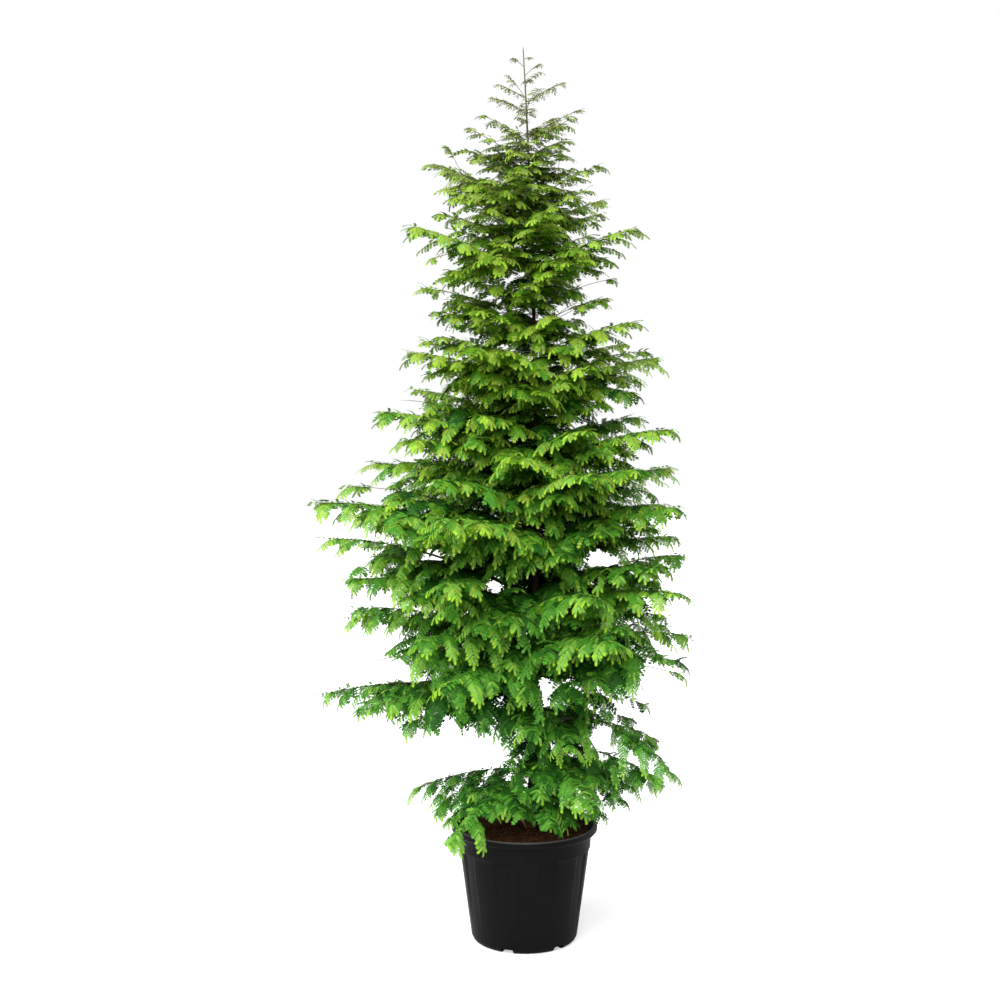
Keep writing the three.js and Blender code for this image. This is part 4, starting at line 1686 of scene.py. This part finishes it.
    def lesser_boughs(self) -> Iterator[tuple[Bough, Stem]]:
        """Yields the boughs between those of the solids: dealt by the golden angle, and set ones."""
        for i in range(self.lesser_count):
            way = (i / (self.lesser_count - 1)) ** self.lesser_crowding
            height = lerp(*self.lesser_heights, way)
            azimuth, key = i * GOLDEN_ANGLE, self.lesser_key + i
            reach = self.width(height, azimuth) * lerp(*self.lesser_share, chance(key, Luck.REACH))
            yield self.lesser_bough(azimuth, min(reach, self.room(azimuth)), height, key)
        first_key = self.lesser_key + self.lesser_count
        for i in range(self.tuft_count):
            height, key = lerp(*self.tuft_heights, i / (self.tuft_count - 1)), first_key + i
            narrowing = min(1.0, (self.lesser_heights[0] - height) / self.tuft_taper)
            reach = lerp(*self.tuft_reach, chance(key, Luck.REACH)) * narrowing
            yield self.lesser_bough((i + 0.5) * GOLDEN_ANGLE, reach, height, key)
        first_key += self.tuft_count
        for i, (degrees, reach, height) in enumerate(self.extra_boughs):
            yield self.lesser_bough(math.radians(degrees), reach, height, first_key + i)

    def thin_twigs(self) -> Iterator[tuple[Bough, Stem]]:
        """Yields the twigs on the bare end of the leader, and the ones that stand up from two high boughs."""
        by_name = {bough.name: bough for bough in self.boughs}
        starts = [(by_name["right_1"], self.trunk.point(height), rise) for height, rise in self.leader_twigs]
        for name, share, rise in self.upright_twigs:
            starts.append((by_name[name], by_name[name].line.points(share), rise))
        for i, (bough, start, rise) in enumerate(starts):
            tip = start + np.array(rise)
            line = Curve(start, (start + tip) / 2 + UP * self.thin_arch * np.linalg.norm(rise), tip)
            size = self.thin_feather
            yield bough, Stem(line, self.thin_bare, self.thin_wood, size, size, self.thin_key + i)

    def add_limb(self, sector: Sector, stem: Stem, first: float, grid: tuple[int, int]) -> None:
        """Keeps one tapering limb for its side's piece.

        Args:
            sector: the side of the crown.
            stem: the stem that it follows.
            first: share of it where the limb begins, 0 at the trunk or bough.
            grid: sides and rings.
        """
        sides, rings = grid
        points = stem.line.points(np.linspace(first, 1, rings))
        foot = stem.radius * (1.0 if first else self.slim)
        way = np.linspace(0, 1, rings) ** self.limb_taper
        radii = lerp(foot, self.rule.stem_tip_radius * self.limb_tip, way)
        self.limbs[sector].append(tubes(points[None], radii[None], sides))

    def grow(self) -> None:
        """Grows the whole crown."""
        self.grow_boughs()
        for bough in self.boughs:
            first = self.foliage_start(bough.line.length, bough.bare_share)
            longest = self.spray_length(bough.line.length)
            main_stem = Stem(bough.line, first, bough.radius, longest, bough.feather, bough.key)
            self.add_limb(bough.sector, main_stem, bough.bare_share * self.bare_lap, self.main_grid)
            self.stems.append((bough, main_stem))
            self.stems += [(bough, twig) for twig in self.twigs(main_stem)]
        self.stems += self.lesser_boughs()
        self.stems += self.thin_twigs()
        for bough, stem in self.stems:
            if stem.line is not bough.line:
                self.add_limb(bough.sector, stem, 0.0, self.side_grid)
            self.grow_sprays(bough, stem)

    # Pieces

    def build_bare_boughs(self) -> None:
        """Rolls the bare wood of the long boughs with its bark."""
        material = BOUGH_BARK.material()
        rows, sides = self.bare_grid
        for bough in self.boughs:
            if not bough.bare_share:
                continue
            points = bough.line.points(np.linspace(0, bough.bare_share, rows))
            end_radius = lerp(bough.radius, self.rule.stem_tip_radius, bough.bare_share)
            radii = lerp(bough.radius, end_radius, np.linspace(0, 1, rows))
            relief = bark_relief(rows, sides, self.bare_depth, SEED + bough.key)
            piece = rolled_limb(f"bough_wood_{bough.name}", points, radii, sides, relief)
            dress(piece, material, "bark", f"bough_{bough.name}")

    def build_limbs(self) -> None:
        """Joins the stems and twigs of each side, which stand for that side's masses."""
        material = BOUGH_BARK.material()
        for sector, parts in self.limbs.items():
            piece = mesh_of_faces(f"stems_{sector.value}", *joined(parts))
            masses = [f"foliage_{bough.name}" for bough in self.boughs if bough.sector is sector]
            dress(piece, material, "bark", *masses)

    def build(self) -> None:
        """Builds limbs, shoots and needles."""
        self.grow()
        self.build_bare_boughs()
        self.build_limbs()
        Foliage(self).build()


class Feather(NamedTuple):
    """One feather, or a column of each value for many: a flat leafy shoot with needles in two ranks."""

    base: Array
    heading: Array
    over: Array  # out of its upper face
    length: float
    way: float  # share of the way along its shoot
    score: float  # age and light, from 0 in the shade to 1 at the tips
    side: int  # number of its side of the crown


@dataclass
class Foliage:
    """The feathers in pairs along every shoot and stem, and their needles."""

    crown: Crown
    pitch: float = 0.35  # between pairs along a shoot, as a share of a feather
    thinning: Pair = (1.7, 1.02)  # wider near the trunk, closer at the boughs' ends
    ends: Pair = (0.6, 0.3)  # of the first pair from a shoot's base, and room added, in pitches
    arch: float = 0.45  # how far out a shoot bends down, as a share of its span
    twig_points: int = 4
    twig_sides: int = 3
    twig_end: float = 0.0006  # radius of a shoot's end
    taper: float = 0.3  # how much shorter the feathers are at a shoot's end
    most_span: float = 0.8  # length of a feather, as a share of its shoot's span
    last_share: float = 0.8  # length of the feather at a shoot's end
    last_span: float = 0.5  # and the most of it, as a share of the span
    last_unlike: float = 0.12  # how unlike its shoot's its heading is
    angle: Pair = (62.0, 40.0)  # from the shoot, at its base and its tip
    angle_unlike: float = 3.5
    droop: Pair = (0.1, 0.3)
    stance: Pair = (0.0, 0.07)  # how much they stand up over the shoot, and how unlike each other
    sizes: Pair = (0.85, 0.3)  # least size of a feather, and how much more by chance
    roll: float = 0.13  # of a feather's upper face out of its shoot's
    bare_heights: Pair = (2.05, 2.2)  # where the spacings widen to the leader's end
    bare_gain: float = 3.0  # how much wider they are there
    stem_pitch: float = 0.013  # between pairs along a stem
    stem_size: float = 0.8  # of the feathers on it
    stem_way: float = 0.3  # they stand as if so far along a shoot
    stem_stance: Pair = (0.22, 0.3)
    stem_lift: float = 0.5  # of their base, in radii of the stem
    shoot_score: Triple = (0.55, 0.4, 0.45)  # for being far out, far along, and at the end: younger growth there, and painted light
    stem_score: Triple = (0.2, 0.45, 0.1)  # for all, for being far out, and by chance
    score_unlike: Pair = (0.15, 0.08)  # from shoot to shoot and feather to feather
    light_heights: tuple[float, ...] = (0.6, 0.9, 1.2, 1.7)
    light_gains: tuple[float, ...] = (-0.1, -0.03, 0.0, 0.25)  # painted light and shade: added to the score at those heights, for paler tints high in the crown and darker ones low down
    ladder: Triple = (0.32, 0.66, 1.08)  # scores where deep turns to leaf, leaf to fresh and fresh to lime
    olive_heights: Pair = (0.82, 0.85)  # where the upper tints begin, and over which height they take over
    olive_most: float = 0.9
    olive_scores: Pair = (0.34, 0.74)  # least score of an olive and of a khaki feather
    straw_heights: Triple = (1.78, 2.05, 2.12)
    straw_shares: Triple = (0.0, 0.75, 1.0)  # of straw feathers at those heights
    pale_ways: Pair = (2.2, 1.1)  # how soon along a shoot the tips grow paler
    pale_least: Pair = (0.05, 0.1)  # least chance of that by place and by score
    pale_below: float = 2.08
    outer: float = 0.45  # least score of an outer feather
    pairs: tuple[int, int] = (4, 6)  # needles along an inner and an outer feather
    half_width: Pair = (0.32, 0.29)  # longest needle of either, as a share of the feather
    inner_gain: float = 1.45  # length of an inner feather over an outer one's
    first_needle: float = 0.55  # place of the first pair, in spaces
    outline_ways: tuple[float, ...] = (0.0, 0.2, 0.5, 0.8, 1.0)
    outline: tuple[float, ...] = (0.7, 0.92, 1.0, 0.95, 0.8)  # length of the needles at those shares
    curl: float = 0.25  # fall of a feather's end as a share of its length
    lean: Pair = (76.0, 50.0)  # of the needles, at base and tip
    lift: float = 0.1  # of the needles over the feather's face
    fill: float = 1.6  # width of a needle as a share of the space it has
    end_needle: Triple = (0.85, 1.16, 0.7)  # shares where the last one begins and ends, and its half width
    fresh_share: float = 0.6  # part of a feather before its paler tip
    draw: np.random.Generator = field(default_factory=lambda: np.random.default_rng(SEED))
    twigs: list[tuple[Array, Array, int]] = field(default_factory=list)  # points, radii and side's number
    found: list[Feather] = field(default_factory=list)
    feathers: Feather = field(init=False)

    # Feathers

    def spread(self, height: float) -> float:
        """Returns how much wider the feathers are spaced at a height, toward the bare end of the leader."""
        return float(np.interp(height, self.bare_heights, (1.0, self.bare_gain)))

    def keep(self, spot: Frame, heading: Array, way: float, length: float, score: float, side: int) -> None:
        """Notes one feather, with its upper face rolled a little out of the shoot's.

        Args:
            spot: the place on the shoot or stem.
            heading: the way it points.
            way: share of the way along its shoot.
            length: of the feather.
            score: its age and light.
            side: number of the side of the crown.
        """
        over = spot.over + self.roll * self.draw.normal(size=3)
        over = unit(over - heading * (over @ heading))
        score += self.score_unlike[1] * self.draw.normal()
        self.found.append(Feather(spot.at, heading, over, length, way, score, side))

    def keep_pair(self, spot: Frame, way: float, size: float, score: float, side: int, stance: Pair) -> None:
        """Notes the two feathers that face each other at one place.

        Args:
            spot: the place on the shoot or stem.
            way: share of the way along it.
            size: length of a feather.
            score: their age and light.
            side: number of the side of the crown.
            stance: how much they stand up, and how unlike each other.
        """
        rise, unlike = stance
        for hand in (-1, 1):
            angle = math.radians(lerp(*self.angle, way) + self.angle_unlike * self.draw.normal())
            fall = lerp(*self.droop, way) + unlike * self.draw.normal() - rise
            heading = unit(spot.sideways(hand, angle) - spot.over * fall)
            length = size * (self.sizes[0] + self.sizes[1] * self.draw.random())
            self.keep(spot, heading, way, length, score, side)

    def clothe_shoot(self, shoot: Shoot) -> None:
        """Sets feathers along a shoot and at its end, as far as the first opening on its way.

        Args:
            shoot: the shoot.
        """
        span = float(np.linalg.norm(shoot.end - shoot.base))
        last = min(self.last_share * shoot.feather, self.last_span * span)
        elbow = shoot.base + shoot.heading * self.arch * span
        line = Curve(shoot.base, elbow, shoot.end - unit(shoot.end - elbow) * last)
        for_out, for_way, for_end = self.shoot_score
        mood = self.score_unlike[0] * self.draw.normal()
        pitch = self.pitch * shoot.feather * lerp(*self.thinning, shoot.outward) * self.spread(shoot.end[2])
        count = max(1, round(line.length / pitch))
        shares = np.append((np.arange(count) + self.ends[0]) / (count + self.ends[1]), 1.0)
        before = int(np.append(self.crown.in_opening(line.points(shares)), True).argmax())
        if before == 0:
            return
        stretch = np.linspace(0, shares[before - 1], self.twig_points)
        self.twigs.append((line.points(stretch), lerp(shoot.radius, self.twig_end, stretch), shoot.side))
        for way in shares[:min(before, count)]:
            size = min(shoot.feather * (1 - self.taper * way * way), self.most_span * span)
            score = for_out * shoot.outward + for_way * way + mood
            self.keep_pair(line.frame(way), way, size, score, shoot.side, self.stance)
        if before > count:
            spot = line.frame(1.0)
            heading = unit(spot.along + self.last_unlike * self.draw.normal(size=3))
            self.keep(spot, heading, 1.0, last, for_out * shoot.outward + for_end + mood, shoot.side)

    def clothe_stem(self, bough: Bough, stem: Stem) -> None:
        """Sets feathers along a stem itself.

        Args:
            bough: the bough whose mass the stem belongs to.
            stem: the stem.
        """
        for_all, for_out, by_chance = self.stem_score
        side = SECTORS.index(bough.sector)
        size = self.stem_size * stem.feather
        count = int((1 - stem.first) * stem.line.length / (self.stem_pitch * self.spread(stem.line.end[2])))
        for i in range(count):
            share = lerp(stem.first, 1, (i + 0.5) / count)
            spot = stem.line.frame(share)
            if self.crown.in_opening(spot.at[None])[0]:
                continue
            out = float(np.hypot(*spot.at[:2])) / bough.reach
            spot.at = spot.at + UP * self.stem_lift * stem.radius
            score = for_all + for_out * out + by_chance * self.draw.normal()
            self.keep_pair(spot, self.stem_way * share, size, score, side, self.stem_stance)

    def grow(self) -> None:
        """Deals the feathers along every shoot and stem, and drops those that would close an opening."""
        for shoot in self.crown.shoots:
            self.clothe_shoot(shoot)
        for bough, stem in self.crown.stems:
            self.clothe_stem(bough, stem)
        columns = Feather(*(np.array(values) for values in zip(*self.found)))
        middle = columns.base + 0.5 * columns.heading * columns.length[:, None]
        kept = ~self.crown.in_opening(middle)
        self.feathers = Feather(*(values[kept] for values in columns))

    # Needles

    def tints(self) -> tuple[Array, Array]:
        """Deals a tint to each feather, and a paler one to its tip.

        Returns:
            Numbers of the tints of body and tip, one for each feather.
        """
        draw = np.random.default_rng(SEED + 1)
        olive, khaki, straw = (TINTS.index(tint) for tint in (Tint.OLIVE, Tint.KHAKI, Tint.STRAW))
        height, way = self.feathers.base[:, 2], self.feathers.way
        count = len(height)
        # painted light and shade by height: the score is raised high in the crown and lowered near its foot
        score = self.feathers.score + np.interp(height, self.light_heights, self.light_gains)
        # the ladder deals the deep, leaf, fresh and lime tints by score: older needles and painted shade low
        # in it, young growth and painted light at its top
        body = np.searchsorted(self.ladder, score)  # the first four tints
        olive_from, olive_over = self.olive_heights
        olive_least, khaki_least = self.olive_scores
        high = draw.random(count) < np.clip((height - olive_from) / olive_over, 0, self.olive_most)
        upper = np.where(score > khaki_least, khaki, olive)
        body = np.where(high & (score > olive_least), upper, body)
        top = draw.random(count) < np.interp(height, self.straw_heights, self.straw_shares)
        body = np.where(top, straw, body)
        slope, wait = self.pale_ways
        least_way, least_score = self.pale_least
        ripe = np.clip(slope * way - wait, least_way, 1) * np.clip(score + least_score, least_score, 1)
        pale = (draw.random(count) < ripe) & (height < self.pale_below)
        brighter = np.array([TINTS.index(BRIGHTER[tint]) for tint in TINTS])
        return body, np.where(pale, brighter[body], body)

    def needles(self, chosen: Array, grade: int, tints: tuple[Array, Array]) -> tuple[Array, Array, Array]:
        """Sets the needles of some feathers in two ranks, with one more at the end.

        Args:
            chosen: one truth value for each feather.
            grade: 0 for inner feathers and 1 for outer ones.
            tints: numbers of the tints of body and tip of all feathers.

        Returns:
            Faces by corners by x, y, z, the number of the tint and of the side of each.
        """
        base, heading, over, length = (values[chosen] for values in self.feathers[:4])
        body, pale = (tint[chosen] for tint in tints)
        pairs = self.pairs[grade]
        length = length * (1.0 if grade else self.inner_gain)
        across = np.cross(heading, over)

        def rib(u: Array) -> Array:
            """Returns points of the midribs at shares of the feathers."""
            ahead = heading[:, None] * (length[:, None] * u)[..., None]
            return base[:, None] + ahead - over[:, None] * (self.curl * length[:, None] * u ** 2)[..., None]

        u = (np.arange(pairs) + self.first_needle) / pairs
        axis = rib(u)
        forward = unit(heading[:, None] - over[:, None] * (2 * self.curl * u)[:, None])
        lean = np.radians(lerp(*self.lean, u))[:, None]
        outline = np.interp(u, self.outline_ways, self.outline)
        long = (self.half_width[grade] * length[:, None] * outline)[..., None]
        wide = (self.fill * length[:, None, None] / pairs) * np.sin(lean) / 2
        faces, tint = [], []
        for hand in (-1, 1):
            out = forward * np.cos(lean) + across[:, None] * hand * np.sin(lean) + over[:, None] * self.lift
            edge = forward * hand * np.sin(lean) - across[:, None] * np.cos(lean)
            blade = [axis - edge * wide, axis + out * long, axis + edge * wide]
            faces.append(np.stack(blade, axis=2))
            tint.append(np.where(u > self.fresh_share, pale[:, None], body[:, None]))
        ends = rib(np.array(self.end_needle[:2]))
        half = across * (self.end_needle[2] * length / pairs)[:, None]
        faces.append(np.stack([ends[:, 0] + half, ends[:, 1], ends[:, 0] - half], axis=1)[:, None])
        tint.append(pale[:, None])
        corners = np.concatenate(faces, axis=1)
        side = np.repeat(self.feathers.side[chosen], corners.shape[1])
        LOG.info("%d feathers of %d pairs, %d faces", len(length), pairs, len(side))
        return corners.reshape(-1, 3, 3), np.concatenate(tint, axis=1).ravel(), side

    # Pieces

    def build_shoots(self) -> None:
        """Joins the shoots of each side."""
        bark = SHOOT_BARK.material()
        centres, radii, sides = (np.array(values) for values in zip(*self.twigs))
        for number, sector in enumerate(SECTORS):
            mine = sides == number
            parts = tubes(centres[mine], radii[mine], self.twig_sides)
            dress(mesh_of_faces(f"shoots_{sector.value}", *parts), bark, "bark")

    def build_needles(self) -> None:
        """Joins the needles of each side and tint."""
        tints, outer = self.tints(), self.feathers.score > self.outer
        grades = [self.needles(~outer, 0, tints), self.needles(outer, 1, tints)]
        corners, tint, side = (np.concatenate(parts) for parts in zip(*grades))
        finishes = {kind: NeedleFinish(f"needles_{kind.value}", *tones).material()
                    for kind, tones in NEEDLE_TONES.items()}
        for number, sector in enumerate(SECTORS):
            for shade, kind in enumerate(TINTS):
                mine = (side == number) & (tint == shade)
                if mine.any():
                    piece = loose_faces(f"needles_{sector.value}_{kind.value}", corners[mine])
                    dress(piece, finishes[kind], "foliage")

    def build(self) -> None:
        """Builds the shoots and the needles."""
        self.grow()
        self.build_shoots()
        self.build_needles()


# Studio

@dataclass
class Studio:
    """Pale floor, soft light and the camera."""

    floor_radius: float = 14.0
    floor_sides: int = 96
    floor_white: float = 0.85  # as the eye sees it
    floor_roughness: float = 0.9
    floor_gloss: float = 0.1
    floor_glow: float = 0.5
    floor_bounce: float = 0.7  # as it lights the plant
    backdrop: float = 1.0
    ambient: float = 0.5
    key_from: Triple = (-0.55, -0.75, 1.0)
    key_strength: float = 4.6  # watts to the square metre
    key_spread: float = 80.0  # its width in the sky, in degrees
    pitch: float = -0.075
    lens: float = 56.16

    @staticmethod
    def seen_and_lit(graph: ShaderGraph, end: str, shader: str, lit: dict, seen: dict) -> None:
        """Ends a graph in one shader for the eye and one for all light that falls on the plant.

        Args:
            graph: the floor's or the world's nodes.
            end: type of the output node.
            shader: type of both shaders.
            lit: inputs of the one that lights.
            seen: inputs of the one that is seen.
        """
        path = graph.out(graph.node("ShaderNodeLightPath", {}, {}), "Is Camera Ray")
        first, second = (graph.out(graph.node(shader, {}, inputs), 0) for inputs in (lit, seen))
        mixed = graph.node("ShaderNodeMixShader", {}, {0: path, 1: first, 2: second})
        graph.node(end, {}, {"Surface": graph.out(mixed, 0)})

    def build_floor(self) -> None:
        """Lays a pale round floor, white to the eye and a little darker to the plant over it."""
        deselect()
        sides, radius = self.floor_sides, self.floor_radius
        bpy.ops.mesh.primitive_circle_add(vertices=sides, radius=radius, fill_type="NGON")
        floor = named("floor")
        graph = ShaderGraph(bpy.data.materials.new("pale_floor"))
        lit, seen = ({
            "Base Color": (grey, grey, grey, 1.0), "Roughness": self.floor_roughness,
            "Specular IOR Level": self.floor_gloss, "Emission Color": WHITE, "Emission Strength": glow,
        } for grey, glow in ((self.floor_bounce, 0.0), (self.floor_white, self.floor_glow)))
        self.seen_and_lit(graph, "ShaderNodeOutputMaterial", "ShaderNodeBsdfPrincipled", lit, seen)
        floor.data.materials.append(graph.owner)

    def build_light(self) -> None:
        """Sets a white surround, seen at full strength and lighting at less, and one large soft lamp."""
        world = bpy.data.worlds.new("studio")
        bpy.context.scene.world = world
        lit, seen = ({"Color": WHITE, "Strength": strength} for strength in (self.ambient, self.backdrop))
        self.seen_and_lit(ShaderGraph(world), "ShaderNodeOutputWorld", "ShaderNodeBackground", lit, seen)
        light = bpy.data.lights.new("key", "SUN")
        light.energy = self.key_strength
        light.angle = math.radians(self.key_spread)
        lamp = bpy.data.objects.new("key", light)
        lamp.rotation_euler = (-Vector(self.key_from)).to_track_quat("-Z", "Y").to_euler()
        bpy.context.scene.collection.objects.link(lamp)

    def build_camera(self) -> None:
        """Sets the camera at the height of the crown's middle, looking slightly down."""
        view = bpy.data.cameras.new("camera")
        view.lens = self.lens
        camera = bpy.data.objects.new("camera", view)
        camera.location = EYE
        camera.rotation_euler = (math.pi / 2 + self.pitch, 0, 0)
        bpy.context.scene.collection.objects.link(camera)
        bpy.context.scene.camera = camera

    def build(self) -> None:
        """Builds the studio and sets plain colours."""
        self.build_floor()
        self.build_light()
        self.build_camera()
        bpy.context.scene.view_settings.view_transform = "Standard"


def main() -> None:
    """Builds the plant and its studio."""
    logging.basicConfig(level=logging.INFO, format="%(name)s: %(message)s")
    Studio().build()
    pot = Pot()
    pot.build()
    soil = Soil(pot)
    soil.build()
    trunk = Trunk(soil.top)
    trunk.build()
    Crown(trunk, pot).build()


if __name__ == "__main__":
    main()
